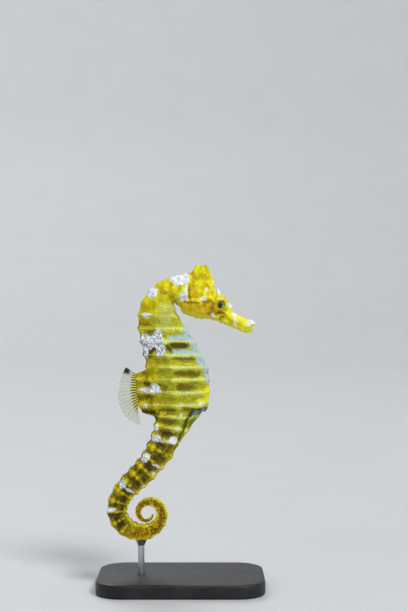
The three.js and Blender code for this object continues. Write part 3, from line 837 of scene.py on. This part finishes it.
# %% A fan of rays
# First and last root in x and z, number of rays, and for evenly spaced places between them
# the direction in degrees from +X, with +Z up, and the length.
DORSAL_FIN = ((-17.2, 77.7), (-15.5, 62.9), 18, (145, 170, 191, 218, 280), (3.3, 5.4, 6.8, 6.6, 4.6))
PECTORAL_FIN = ((-3.4, 102.6), (-2.4, 98.0), 14, (176, 190, 206, 224, 240), (4.8, 5.8, 6.6, 7.0, 7.2))
ANAL_FIN = ((6.2, 64.5), (6.2, 64.1), 5, (8, -1, -9, -17, -24), (3.6, 3.4, 3.1, 2.8, 2.5))
PECTORAL_OFFSET, PECTORAL_SPLAY = 5.1, 20
MEMBRANE, RAY_ROOT, RAY_TIP = 0.05, 0.2, 0.08  # half thicknesses
RAY_COLUMNS, FIN_ROWS = 8, 28
ROOT_DEPTH = 1.0  # how far the rays reach in below their roots
RAY_SHARPNESS = 6  # the higher, the narrower a ray against the skin between
RIM_NOTCH = 0.06  # how far the clear skin draws back between two rays at the rim
RIM_TAPER = 40  # how steeply a fan thins to nothing at its first and last ray
RAY_CURL = 7  # degrees that a ray bends down over its length
CURL_FROM = 0.4
RIPPLE_WAVES = 1.5
print(DORSAL_FIN[2], "rays in the dorsal fin,", PECTORAL_FIN[2], "in a pectoral fin")


# %% Make a fan
def evenly(values, share):
    """A value at a share of the way along evenly spaced values."""
    return look_up([(i / (len(values) - 1), value) for i, value in enumerate(values)], share)


def fan(name, shape, matrix, nodes, ripple=0.0):
    """A fin as a closed fan of rays in the X and Z plane, then placed by a matrix."""
    first, last, rays, directions, lengths = shape
    columns = 2 * RAY_COLUMNS * (rays - 1)

    def place(across, along):
        share = 1 - abs(1 - 2 * across)
        face = 1 if across < 0.5 else -1
        ridge = abs(math.cos(math.pi * share * (rays - 1)))
        reach = evenly(lengths, share) * (1 - RIM_NOTCH * (1 - ridge) * along ** RAY_SHARPNESS)
        out = along * (reach + ROOT_DEPTH) - ROOT_DEPTH
        curl = RAY_CURL * (along - CURL_FROM) * along
        turn = math.radians(evenly(directions, share) + curl)
        thick = blend(MEMBRANE, blend(RAY_ROOT, RAY_TIP, along), ridge ** RAY_SHARPNESS)
        rim = min(1, share * RIM_TAPER, (1 - share) * RIM_TAPER) * (0 if along in (0, 1) else 1)
        sway = ripple * along ** 2 * math.sin(share * math.tau * RIPPLE_WAVES)
        return matrix @ Vector((
            blend(first[0], last[0], share) + math.cos(turn) * out,
            face * thick * rim + sway,
            blend(first[1], last[1], share) + math.sin(turn) * out,
        ))

    bm = bmesh.new()
    uv = bm.loops.layers.uv.new("OFBake")
    ray_layer = bm.verts.layers.float.new("ray")
    along_layer = bm.verts.layers.float.new("along")
    wrapped_grid(bm, columns, FIN_ROWS, place)
    for face in bm.faces:
        for loop in face.loops:
            loop.vert[ray_layer] = (1 - abs(1 - 2 * loop[uv].uv.x)) * (rays - 1)
            loop.vert[along_layer] = loop[uv].uv.y
    closed_up(bm)
    piece = finished(bm, name)
    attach(piece, "root")
    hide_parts(*nodes)
    return piece


# %% The four fins
dorsal_fin = fan("dorsal_fan", DORSAL_FIN, Matrix.Identity(4), ["dorsal_fin"], ripple=0.25)
anal_fin = fan("anal_fan", ANAL_FIN, Matrix.Identity(4), ["anal_fin"])
pectoral_fins = []
for side, node in ((1, "pectoral_fin_left"), (-1, "pectoral_fin_right")):
    root = Vector((PECTORAL_FIN[0][0], 0, 0))
    splay = Matrix.Rotation(math.radians(-side * PECTORAL_SPLAY), 4, "Z")
    beside = Matrix.Translation(root + Vector((0, side * PECTORAL_OFFSET, 0)))
    place = beside @ splay @ Matrix.Translation(-root)
    name = node.replace("fin", "fan")
    pectoral_fins.append(fan(name, PECTORAL_FIN, place, [node], ripple=0.15))
print("fans:", [piece.name for piece in (dorsal_fin, anal_fin, *pectoral_fins)])

# %% [markdown]
# ## Writing materials as sums
#
# A shader is arithmetic on the surface's place. It can be wired up node by node in the
# editor, but there it is hard to read. A small class holds one socket and turns sums and
# products into Math nodes, so that a mask reads as a formula. Its one method for any other
# node takes the node's type, its settings, and the values or links of its sockets.

# %% A socket that can be added and multiplied
class Wire:
    """An output socket of a material's nodes."""

    def __init__(self, tree, socket=None):
        self.tree = tree
        self.socket = socket

    def node(self, kind, settings=None, sockets=None, output=0):
        """Adds a node, sets its settings, then fills its input sockets by name or number."""
        made = self.tree.nodes.new("ShaderNode" + kind)
        for name, value in (settings or {}).items():
            setattr(made, name, value)
        for name, value in (sockets or {}).items():
            if isinstance(value, Wire):
                self.tree.links.new(value.socket, made.inputs[name])
            else:
                made.inputs[name].default_value = value
        return Wire(self.tree, made.outputs[output])

    def math(self, operation, *values):
        return self.node("Math", {"operation": operation}, dict(enumerate(values)))

    def __add__(self, other):
        return self.math("ADD", self, other)

    def __radd__(self, other):
        return self.math("ADD", other, self)

    def __sub__(self, other):
        return self.math("SUBTRACT", self, other)

    def __rsub__(self, other):
        return self.math("SUBTRACT", other, self)

    def __mul__(self, other):
        return self.math("MULTIPLY", self, other)

    def __rmul__(self, other):
        return self.math("MULTIPLY", other, self)

    def __pow__(self, other):
        return self.math("POWER", self, other)

    def __abs__(self):
        return self.math("ABSOLUTE", self)

    def fraction(self):
        return self.math("FRACT", self)

    def least(self, other):
        return self.math("MINIMUM", self, other)

    def most(self, other):
        return self.math("MAXIMUM", self, other)

    def hypotenuse(self, other):
        """How far a point is from the middle, this far one way and other far across it."""
        return (self * self + other * other) ** 0.5

    def rise(self, low, high):
        """0 below low and 1 above high, smooth between. With low above high it falls instead."""
        return self.node("MapRange", {"interpolation_type": "SMOOTHSTEP"},
                         {"Value": self, "From Min": low, "From Max": high})

    def near(self, middle, reach):
        """1 at a value and 0 from a reach away."""
        return abs(self - middle).rise(reach, 0)

    def mix(self, a, b):
        """Colour a where this mask is 0 and colour b where it is 1."""
        return self.node("Mix", {"data_type": "RGBA"}, {0: self, 6: a, 7: b}, 2)


print("a wire's own methods:", [name for name in vars(Wire) if not name.startswith("_")])


# %% Colours and coats of paint
def shade(red, green, blue):
    """A colour given as a screen shows it, from 0 to 255, as the linear one that nodes take."""
    def linear(value):
        value /= 255
        return value / 12.92 if value <= 0.04045 else ((value + 0.055) / 1.055) ** 2.4

    return (linear(red), linear(green), linear(blue), 1)


def paint(tint, mask, colour):
    """A colour laid over a tint where a mask is 1."""
    return mask.mix(tint, colour)


print("mid grey on a screen is", round(shade(128, 128, 128)[0], 3), "in linear light")


# %% A new material, and what it can read
def new_material(name):
    """A new material, its start for wires, and its Principled shader."""
    material = bpy.data.materials.new(name)
    material.use_nodes = True
    return material, Wire(material.node_tree), material.node_tree.nodes["Principled BSDF"]


def plug(wires, shader, **inputs):
    """Links or sets a shader's sockets; an underscore in a name stands for a space."""
    for name, value in inputs.items():
        socket = shader.inputs[name.replace("_", " ")]
        if isinstance(value, Wire):
            wires.tree.links.new(value.socket, socket)
        else:
            socket.default_value = value


def attribute(wires, name):
    """A number that is kept on the points of the mesh."""
    return wires.node("Attribute", {"attribute_name": name}, output=2)


def object_place(wires):
    """The place on the piece in millimetres, as a vector wire and its three parts."""
    place = wires.node("TexCoord", output=3)
    scaled = wires.node("VectorMath", {"operation": "SCALE"}, {0: place, "Scale": 1 / MM})
    return scaled, [wires.node("SeparateXYZ", None, {0: scaled}, axis) for axis in range(3)]


print(len(skin.data.attributes), "attributes on the skin, Blender's own included")


# %% Noise in patches and in lines
def grain(wires, place, size, detail):
    """Noise whose patches are about a size in millimetres, around 0.5."""
    return wires.node("TexNoise", None, {"Vector": place, "Scale": 1 / size, "Detail": detail})


def drawn_out(wires, across, along, up, scale=1.0):
    """Noise on a space of three stretched parts, so its patches are drawn out into lines."""
    space = wires.node("CombineXYZ", None, {0: across, 1: along, 2: up})
    return wires.node("TexNoise", None, {"Vector": space, "Scale": scale, "Detail": 2.0})


FINE_DETAIL = 4.0  # how many times the noise on the skin is broken up finer
print("the finest noise in a patch is 1 /", int(2 ** FINE_DETAIL), "of its size")

# %% [markdown]
# ## The skin's colours
#
# The living skin is a patchwork: lemon and gold over olive, with a pale line on every rib,
# brown bars in the hollows between them, a pale blue-grey chest, snow-white blotches full of
# dark dots on the back, and brown boxes all the way down the tail. Ribs, boxes and fine lines
# follow the armour, so they are drawn from the ring number and the place round the body. Bars
# and blotches are the ovals set down above. The paint goes on in coats, as on a real model:
# each line lays one colour over all before it, where its mask is 1.

# %% Palette
LEMON = shade(220, 216, 20)
GOLD = shade(190, 166, 6)
LIME = shade(168, 178, 36)
OLIVE = shade(112, 104, 10)
PALE_RIB = shade(204, 218, 124)
BROWN = shade(82, 60, 6)
DEEP_BROWN = shade(56, 40, 2)
MILK = shade(158, 184, 194)
SHADOW = shade(118, 142, 142)
SNOW = shade(228, 232, 240)
ORANGE = shade(198, 154, 6)
CANARY = shade(238, 232, 70)
INK = shade(22, 20, 10)
MOSS = shade(104, 124, 24)
SLATE = shade(90, 112, 122)
print("lemon in linear light:", [round(part, 2) for part in LEMON[:3]])

# %% Where things are on the skin
COIL_FROM, COIL_TO = 23.4, 21.4  # the stations where boxes give way to the coil's mottle
SKULL_FRONT, SKULL_BACK = 17, 14  # x, from the snout's root back to the eye
skin_material, wires, shader = new_material("seahorse skin")
place, (x, y, z) = object_place(wires)
station = attribute(wires, "station")
around = attribute(wires, "round")
relief_height = attribute(wires, "relief")
on_head = station.rise(NAPE - 2, NAPE + 1)
skull = on_head * x.rise(SKULL_FRONT, SKULL_BACK)
on_throat = station.rise(NAPE - 6, NAPE - 4)
on_tail = station.rise(TAIL_ROOT + 3.4, TAIL_ROOT + 1.4)
on_trunk = (1 - on_head) * (1 - on_tail)
coil = station.rise(COIL_FROM, COIL_TO)
boxed = on_tail * (1 - coil)
plain = (1 - on_head) * (1 - on_throat) * (1 - coil)
print(len(skin_material.node_tree.nodes), "nodes tell the parts of the body apart")

# %% Noise on the skin
mottle = grain(wires, place, 3.0, FINE_DETAIL)
patch = grain(wires, place, 1.2, FINE_DETAIL)
fine = grain(wires, place, 0.45, FINE_DETAIL)
lines = drawn_out(wires, station * 11, around * 5, y.rise(-0.5, 0.5) * 9)
stripes = drawn_out(wires, x * 0.25, y * 0.5, z * 2.0)
from_rib = 0.5 - abs(station.fraction() - 0.5)
soft_rib = from_rib + (patch - 0.5) * 0.5


def marked(name, fray=0.0):
    """How far outside a group of markings, its edges frayed by a width in millimetres."""
    distance = attribute(wires, name)
    return distance + (patch * 1.4 + fine * 0.6 - 1) * fray * 2 if fray else distance


print(len(skin_material.node_tree.nodes), "nodes before the first coat")

# %% [markdown]
# ### Ground colours
#
# A yellow seahorse is never one yellow: small cells of pigment make it gold in one place and
# olive in the next, and worn edges are pale. One noise could mottle it all, but a real skin
# has large clouds and fine grain at once, so three sizes of noise are laid over each other.
# The height of the relief, kept on the mesh, gives painted shade where the skin lies low, and
# a painted highlight on the tops of the head's lumps.

# %% Clouds, grain, painted shade in the hollows and painted highlights on the lumps
tint = mottle.rise(0.4, 0.6).mix(GOLD, LEMON)
tint = paint(tint, around.rise(0.22, 0.5) * on_trunk * (0.6 - 0.45 * on_throat), LIME)
tint = paint(tint, patch.rise(0.52, 0.36) * (0.6 - 0.35 * on_throat), OLIVE)
tint = paint(tint, fine.rise(0.5, 0.34) * (0.5 - 0.25 * on_throat), OLIVE)
tint = paint(tint, fine.rise(0.54, 0.7) * 0.6, LEMON)
# painted shade: darker where the relief lies low, olive, and orange on the skull
painted_hollow_shade = relief_height.rise(0.02, -0.25) * (0.45 + 0.35 * skull)
tint = paint(tint, painted_hollow_shade, skull.mix(OLIVE, ORANGE))
# painted highlight: canary on the tops of the head's lumps
tint = paint(tint, relief_height.rise(0.06, 0.28) * on_head * 0.5, CANARY)
print(len(skin_material.node_tree.nodes), "nodes after the ground colours")

# %% Fine lines, throat stripes and pale ribs
tint = paint(tint, lines.rise(0.5, 0.36) * plain * 0.45, OLIVE)
pale_lines = lines.rise(0.54, 0.68) * around.rise(0.25, 0.45) * (1 - 0.6 * boxed)
tint = paint(tint, pale_lines * plain * 0.5, PALE_RIB)
tint = paint(tint, from_rib.rise(0.14, 0.4) * plain * patch.rise(0.35, 0.6) * 0.45, OLIVE)
on_stripes = marked("throat").rise(1.0, -1.5) * on_throat
tint = paint(tint, on_stripes * stripes.rise(0.53, 0.64) * 0.6, PALE_RIB)
tint = paint(tint, on_stripes * stripes.rise(0.48, 0.38) * 0.5, OLIVE)
front = around.rise(0.36, 0.56) * around.rise(0.95, 0.86) * (1 - on_throat)
tint = paint(tint, soft_rib.rise(0.22, 0.02) * on_trunk * front * 0.8, PALE_RIB)
crest = from_rib.rise(0.07, 0.02) * on_trunk * (1 - on_throat)
tint = paint(tint, crest * fine.rise(0.35, 0.6) * 0.7, PALE_RIB)
print(len(skin_material.node_tree.nodes), "nodes after the ribs")

# %% [markdown]
# ### The tail
#
# Down the tail a dark brown box with gold specks lies between each two ribs, a gold blob sits
# on each rib toward the back, and the coil is mottled orange and brown. A dozen boxes could
# be set down one by one. But the part of the ring number after the point repeats on every
# ring, so one box drawn from it stands on them all, and noise makes each one different.

# %% A brown box in every ring
BLOB_PLACE, BLOB_LONG, BLOB_WIDE = 0.31, 2.2, 10  # how far round, and how sharply it ends
width = around.near(0.48, 0.36) + (patch - 0.5) * 0.7
box = width.rise(0.04, 0.36) * soft_rib.rise(0.0, 0.2) * boxed
tint = paint(tint, boxed * patch.rise(0.62, 0.42) * around.rise(0.9, 0.7) * 0.75, BROWN)
tint = paint(tint, box * (0.65 + 0.3 * mottle.rise(0.62, 0.4)), DEEP_BROWN)
tint = paint(tint, box * patch.rise(0.56, 0.7) * 0.35, GOLD)
blob = (from_rib * BLOB_LONG).hypotenuse((around - BLOB_PLACE) * BLOB_WIDE) + (fine - 0.5) * 1.5
tint = paint(tint, blob.rise(1.1, 0.4) * boxed * station.rise(22.5, 28) * 0.8, GOLD)
tint = paint(tint, blob.rise(0.6, 0.1) * boxed * 0.6, LEMON)
print(len(skin_material.node_tree.nodes), "nodes after the boxes")

# %% The coil, and the knobs of the armour
middle = around.rise(0.82, 0.62) * around.rise(0.18, 0.36)
tint = paint(tint, coil * middle * 0.9, ORANGE)
tint = paint(tint, coil * middle * patch.rise(0.66, 0.4) * 0.75, BROWN)
tint = paint(tint, coil * fine.rise(0.6, 0.4) * (0.3 + 0.4 * middle), BROWN)
tint = paint(tint, coil * around.rise(0.86, 0.72) * fine.rise(0.48, 0.34) * 0.6, DEEP_BROWN)
sides = around.near(FLANK_RIDGE, 0.05).most(around.near(BELLY_RIDGE, 0.06))
ridges = around.near(BACK_RIDGE, 0.08).most(sides)
knob = soft_rib.rise(0.2, 0.04) * ridges.rise(0.1, 0.6) * plain
tint = paint(tint, knob * (0.35 + 0.1 * on_tail), LEMON)
print(len(skin_material.node_tree.nodes), "nodes after the tail")

# %% [markdown]
# ### The head
#
# The gill cover is orange with a brown edge, the snout is the brightest yellow of all, and a
# pale collar lies behind the head. The underside of the head gets a painted highlight, and the
# furrow behind the skull painted shade. These could follow the ring number like the ribs, but
# the plates of a head aren't rings, so the ovals give them their places.

# %% Gill cover, jaw and snout
tint = paint(tint, marked("gill_orange", 0.7).rise(0.9, -1.2) * (0.6 + 0.4 * mottle), ORANGE)
freckles = patch.rise(0.5, 0.34) * 0.28
tint = paint(tint, marked("gill_orange", 0.5).rise(0.4, -0.8) * freckles, BROWN)
tint = paint(tint, marked("gill_shade", 1.0).rise(0.6, -0.4) * 0.6, BROWN)
# painted highlight: the underside of the head lighter
tint = paint(tint, on_head * around.rise(0.66, 0.9) * 0.6, CANARY)
tint = paint(tint, x.rise(17, 21) * (0.3 + 0.25 * patch.rise(0.4, 0.6)), CANARY)
tint = paint(tint, marked("collar", 0.8).rise(0.6, -0.6) * 0.6, PALE_RIB)
# painted shade: a brown line in the furrow behind the skull
tint = paint(tint, marked("skull_furrow_shade", 0.9).rise(0.5, -0.4) * 0.45, BROWN)
tint = paint(tint, marked("eye_shade", 0.8).rise(0.6, -0.6) * 0.4, OLIVE)
print(len(skin_material.node_tree.nodes), "nodes after the head")

# %% [markdown]
# ### Chest, bars and blotches
#
# Over the ground lie the animal's own markings: a pale chest, brown bars between the ribs and
# snow-white blotches. Beside them go painted shade in the furrow of the pouch and along the
# back, and painted highlights along the edges of the belly and under the jaw. Hard-edged shapes
# would look like stickers. So noise shifts each edge in and out, a bar stops where a rib
# crosses it, and the white is broken by dark dots.

# %% Chest, bars and pouch
pale = patch.rise(0.3, 0.52).mix(SHADOW, MILK)
pale = paint(pale, soft_rib.rise(0.2, 0.05) * 0.4, PALE_RIB)
tint = paint(tint, marked("chest", 1.0).rise(0.9, -0.6) * (0.75 + 0.2 * fine.rise(0.4, 0.55)), pale)
# painted highlights: lemon along the edges of the belly and under the jaw
tint = paint(tint, marked("edge_highlights", 1.4).rise(0.9, -0.7) * 0.75, LEMON)
in_hollow = soft_rib.rise(0.02, 0.24)
beside_rib = soft_rib.rise(-0.06, 0.1)
tint = paint(tint, marked("soft_bars", 1.5).rise(1.3, -1.1) * in_hollow * 0.8, BROWN)
tint = paint(tint, marked("strong_bars", 1.3).rise(1.1, -0.8) * beside_rib * 0.92, DEEP_BROWN)
tint = paint(tint, marked("pouch_green", 0.5).rise(0.6, -0.6) * 0.85, MOSS)
tint = paint(tint, marked("slate", 0.4).rise(0.4, -0.4) * 0.85, SLATE)
# painted shade: a dark line in the furrow of the pouch
tint = paint(tint, marked("pouch_furrow_shade", 0.4).rise(0.6, -0.3) * 0.85, DEEP_BROWN)
print(len(skin_material.node_tree.nodes), "nodes after the bars")

# %% White blotches, and painted shadow along the back
DOT_SPACING = 0.85
BACK_SHADOWS = ((30.9, 4.2), (40.6, 1.9))  # middle and reach, in stations
FIN_STATION, FIN_REACH = TAIL_ROOT + 5.8, 2.2  # where the base of the dorsal fin stands
tint = paint(tint, marked("spots", 0.9).rise(0.5, -0.5) * 0.55, SNOW)
snow = marked("white", 1.0).rise(0.25, -0.15)
tint = paint(tint, snow * (1 - 0.6 * on_tail * fine.rise(0.42, 0.56)), SNOW)
tint = paint(tint, snow * patch.rise(0.5, 0.36) * (0.8 - 0.3 * on_head), MILK)
cells = wires.node("TexVoronoi", None, {"Vector": place, "Scale": 1 / DOT_SPACING})
dots = cells.rise(0.5, 0.34) * fine.rise(0.34, 0.5)
most_dotted = station.near(NAPE - 6, 3).rise(0.0, 0.2)
tint = paint(tint, snow * dots * (0.25 + 0.65 * most_dotted), OLIVE)
# painted shadow: a black line along the ridge of the back, on two stretches of the body
lower_shadow, upper_shadow = [station.near(middle, reach) for middle, reach in BACK_SHADOWS]
back_shadow = around.near(0.16, 0.045) * (lower_shadow + upper_shadow).rise(0.0, 0.1)
tint = paint(tint, back_shadow.rise(0.1, 0.6) * patch.rise(0.35, 0.55) * 0.85, INK)
off_fin = 1 - station.near(FIN_STATION, FIN_REACH).rise(0.0, 0.1)
# painted shadow: a black line down the middle of the back, but not under the dorsal fin
tint = paint(tint, around.rise(0.055, 0.02) * plain * off_fin * 0.9, INK)
print(len(skin_material.node_tree.nodes), "nodes after the blotches")

# %% Grain of the surface
GRAIN_DEPTH = 0.2
height = 0.5 * grain(wires, place, 0.3, FINE_DETAIL) + 0.3 * fine + 0.3 * lines
bump = wires.node("Bump", None, {"Strength": 0.6, "Distance": GRAIN_DEPTH * MM, "Height": height})
plug(wires, shader, Base_Color=tint, Roughness=0.55 + 0.3 * fine, Normal=bump,
     Specular_IOR_Level=0.14)
skin.data.materials.append(skin_material)
print(len(skin_material.node_tree.nodes), "nodes in the skin")

# %% [markdown]
# ## The colours of the eyes
#
# The iris is gold outside and green inside, streaked, and its dark pupil is drawn out into a
# wedge below. Low in front lies a painted highlight, a pale blue-grey reflection. A picture of
# an eye could be laid on, but a pattern drawn from the place on the ball serves both eyes at
# any size, and a clear coat over it gives the wet shine.

# %% Eye material
IRIS_INNER, IRIS_OUTER = 0.9, 1.3
PUPIL_UP = 0.1  # how far the pupil's middle is above the eye's
WEDGE_X, WEDGE_DOWN, WEDGE_CUT = -0.35, 0.7, 0.3
# where the painted highlight, a pale reflection, lies from the eye's middle
HIGHLIGHT_X, HIGHLIGHT_DOWN = 0.85, 0.45
eye_material, wires, shader = new_material("glossy eye")
place, (x, y, z) = object_place(wires)
dx, dz = x - EYE_CENTRE.x, z - EYE_CENTRE.z
away = dx.hypotenuse(dz)
streaks = drawn_out(wires, dz.math("ARCTAN2", dz, dx) * 6, away, 0, 1.5)
painted_highlight = (dx - HIGHLIGHT_X).hypotenuse(dz + HIGHLIGHT_DOWN)
iris = away.rise(IRIS_INNER, IRIS_OUTER).mix(shade(120, 132, 30), shade(168, 156, 16))
iris = paint(iris, streaks.rise(0.5, 0.62) * 0.5, shade(60, 84, 30))
# painted highlight: a pale blue-grey reflection low in front of the pupil
iris = paint(iris, painted_highlight.rise(0.5, 0.2) * 0.8, shade(150, 168, 176))
pupil = dx.hypotenuse(dz - PUPIL_UP)
wedge = (dx - WEDGE_X).hypotenuse(dz + WEDGE_DOWN) + WEDGE_CUT
iris = paint(iris, pupil.least(wedge).rise(0.84, 0.7), shade(3, 3, 4))
plug(wires, shader, Base_Color=iris, Roughness=0.2, Coat_Weight=0.6, Coat_Roughness=0.03,
     Specular_IOR_Level=0.2)
for name in ("eye_left_ball", "eye_right_ball"):
    bpy.data.objects[name].data.materials.append(eye_material)
print(len(eye_material.node_tree.nodes), "nodes in the eye")

# %% [markdown]
# ## The colours of the fins
#
# A fin's skin is nearly clear and its rays are not. On the dorsal fin the root is yellow and
# brown, and the first rays end in a black blotch. The pectoral fins are fainter, and the anal
# fin is a slate-coloured flap. Glass would bend the light, but a fin is too thin for that, so
# these materials only let part of the light through. The number of each ray and the place
# along it, kept on the mesh, say where the rays are.

# %% The dorsal fin's material
def beside_ray(ray):
    """0 in the middle of a ray and 0.5 half way to the next."""
    return abs((ray + 0.5).fraction() - 0.5)


fin_material, wires, shader = new_material("clear fin")
ray = attribute(wires, "ray")
along = attribute(wires, "along")
on_ray = beside_ray(ray).rise(0.26, 0.12)
tint = on_ray.mix(shade(150, 156, 140), shade(206, 208, 170))
root = along.rise(0.44, 0.26)
tint = paint(tint, root * on_ray, LEMON)
tint = paint(tint, root * (1 - on_ray) * 0.85, DEEP_BROWN)
blotch = ray.rise(2.6, 1.4) * along.rise(0.4, 0.7)
tint = paint(tint, blotch, INK)
alpha = 0.24 + 0.35 * on_ray * along.rise(1.1, 0.6) + 0.6 * root + blotch
plug(wires, shader, Base_Color=tint, Alpha=alpha.least(1.0), Roughness=0.35)
dorsal_fin.data.materials.append(fin_material)
print(len(fin_material.node_tree.nodes), "nodes in the dorsal fin")

# %% The pectoral fins' material
faint_material, wires, shader = new_material("faint fin")
on_ray = beside_ray(attribute(wires, "ray")).rise(0.3, 0.1)
along = attribute(wires, "along")
alpha = 0.1 + 0.3 * on_ray * along.rise(1.0, 0.7)
plug(wires, shader, Base_Color=shade(206, 214, 120), Alpha=alpha, Roughness=0.4)
for piece in pectoral_fins:
    piece.data.materials.append(faint_material)
print("faint material on", len(pectoral_fins), "pectoral fins")

# %% The anal fin's material
slate_material, wires, shader = new_material("slate fin")
place, _ = object_place(wires)
tint = grain(wires, place, 0.9, 3.0).rise(0.4, 0.6).mix(SLATE, MILK)
tint = paint(tint, attribute(wires, "along").rise(0.75, 1.0), INK)
plug(wires, shader, Base_Color=tint, Alpha=0.9, Roughness=0.4)
anal_fin.data.materials.append(slate_material)
print(len(slate_material.node_tree.nodes), "nodes in the anal fin")

# %% [markdown]
# ## The stand
#
# A museum's stand draws no attention: a satin black base and a thin brushed steel rod. Both
# are the frame's own solids, so only their materials are new. A plain colour would look like
# plastic, so the black varies a little in gloss, as if dust had settled on it, and the steel
# has fine noise drawn out along the rod, as brushing leaves it.

# %% Satin black
def refinish(name, material):
    """Gives a node of the frame a new material."""
    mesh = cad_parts[name].data
    mesh.materials.clear()
    mesh.materials.append(material)


black_material, wires, shader = new_material("satin black")
place, _ = object_place(wires)
dust = grain(wires, place, 6.0, 5.0)
black = dust.rise(0.3, 0.8).mix(shade(22, 22, 24), shade(34, 34, 36))
plug(wires, shader, Base_Color=black, Roughness=0.36 + 0.16 * dust, Specular_IOR_Level=0.3)
refinish("stand_base", black_material)
print("the base is satin black")

# %% Brushed steel
steel_material, wires, shader = new_material("brushed steel")
place, (x, y, z) = object_place(wires)
brushed = drawn_out(wires, x * 4, y * 4, z * 0.4, 3.0)
steel = brushed.mix(shade(168, 170, 172), shade(206, 208, 210))
plug(wires, shader, Base_Color=steel, Metallic=1.0, Roughness=0.22 + 0.2 * brushed)
refinish("stand_rod", steel_material)
print("the rod is brushed steel")

# %% [markdown]
# ## Floor and light
#
# A flat floor would end in a horizon, so this one is a studio sweep: a wide disc whose rim
# curves up into a wall, turned in one spin. A large soft light stands high at the front
# right, a weaker and wider one at the front left, and one behind picks out the edges of the
# fins. Their places, and the floor's outline, are in metres.

# %% Floor
FLOOR_PROFILE = [(0, 0), (1.6, 0), (2.1, 0.06), (2.5, 0.25), (2.8, 0.6), (2.9, 1.1), (2.9, 3.0)]
FLOOR_STEPS = 64
FLOOR_MEETING = 1e-5
floor_bm = bmesh.new()
profile = [floor_bm.verts.new((radius, 0, height)) for radius, height in FLOOR_PROFILE]
edges = [floor_bm.edges.new(pair) for pair in zip(profile, profile[1:])]
bmesh.ops.spin(floor_bm, geom=profile + edges, cent=(0, 0, 0), axis=(0, 0, 1), angle=math.tau,
               steps=FLOOR_STEPS, use_merge=True)
bmesh.ops.remove_doubles(floor_bm, verts=floor_bm.verts, dist=FLOOR_MEETING)
bmesh.ops.recalc_face_normals(floor_bm, faces=floor_bm.faces)
floor = finished(floor_bm, "floor")
floor_material, wires, shader = new_material("pale floor")
place, _ = object_place(wires)
pale = grain(wires, place, 60.0, 2.0).mix(shade(186, 188, 190), shade(192, 194, 196))
plug(wires, shader, Base_Color=pale, Roughness=0.6)
floor.data.materials.append(floor_material)


# %% Lights
def soft_light(name, watts, size, place, aim=(0, 0, 0.075)):
    """A square light that faces a point."""
    lamp = bpy.data.lights.new(name, "AREA")
    lamp.energy, lamp.size = watts, size
    light = bpy.data.objects.new(name, lamp)
    light.location = place
    light.rotation_euler = (Vector(aim) - Vector(place)).to_track_quat("-Z", "Y").to_euler()
    bpy.context.scene.collection.objects.link(light)


soft_light("key", 113, 1.1, (1.5, -2.0, 2.9))
soft_light("fill", 36, 2.2, (-2.2, -2.2, 1.2))
soft_light("rim", 32, 1.4, (-0.8, 2.2, 2.4))
print(len(bpy.data.lights), "lights")

# %% Sky and tone
SKY_STRENGTH = 0.35
world = bpy.data.worlds.new("world")
world.use_nodes = True
world.node_tree.nodes["Background"].inputs["Color"].default_value = (1, 1, 1, 1)
world.node_tree.nodes["Background"].inputs["Strength"].default_value = SKY_STRENGTH
bpy.context.scene.world = world
bpy.context.scene.view_settings.view_transform = "Standard"
print("tone:", bpy.context.scene.view_settings.view_transform)

# %% [markdown]
# ## Close
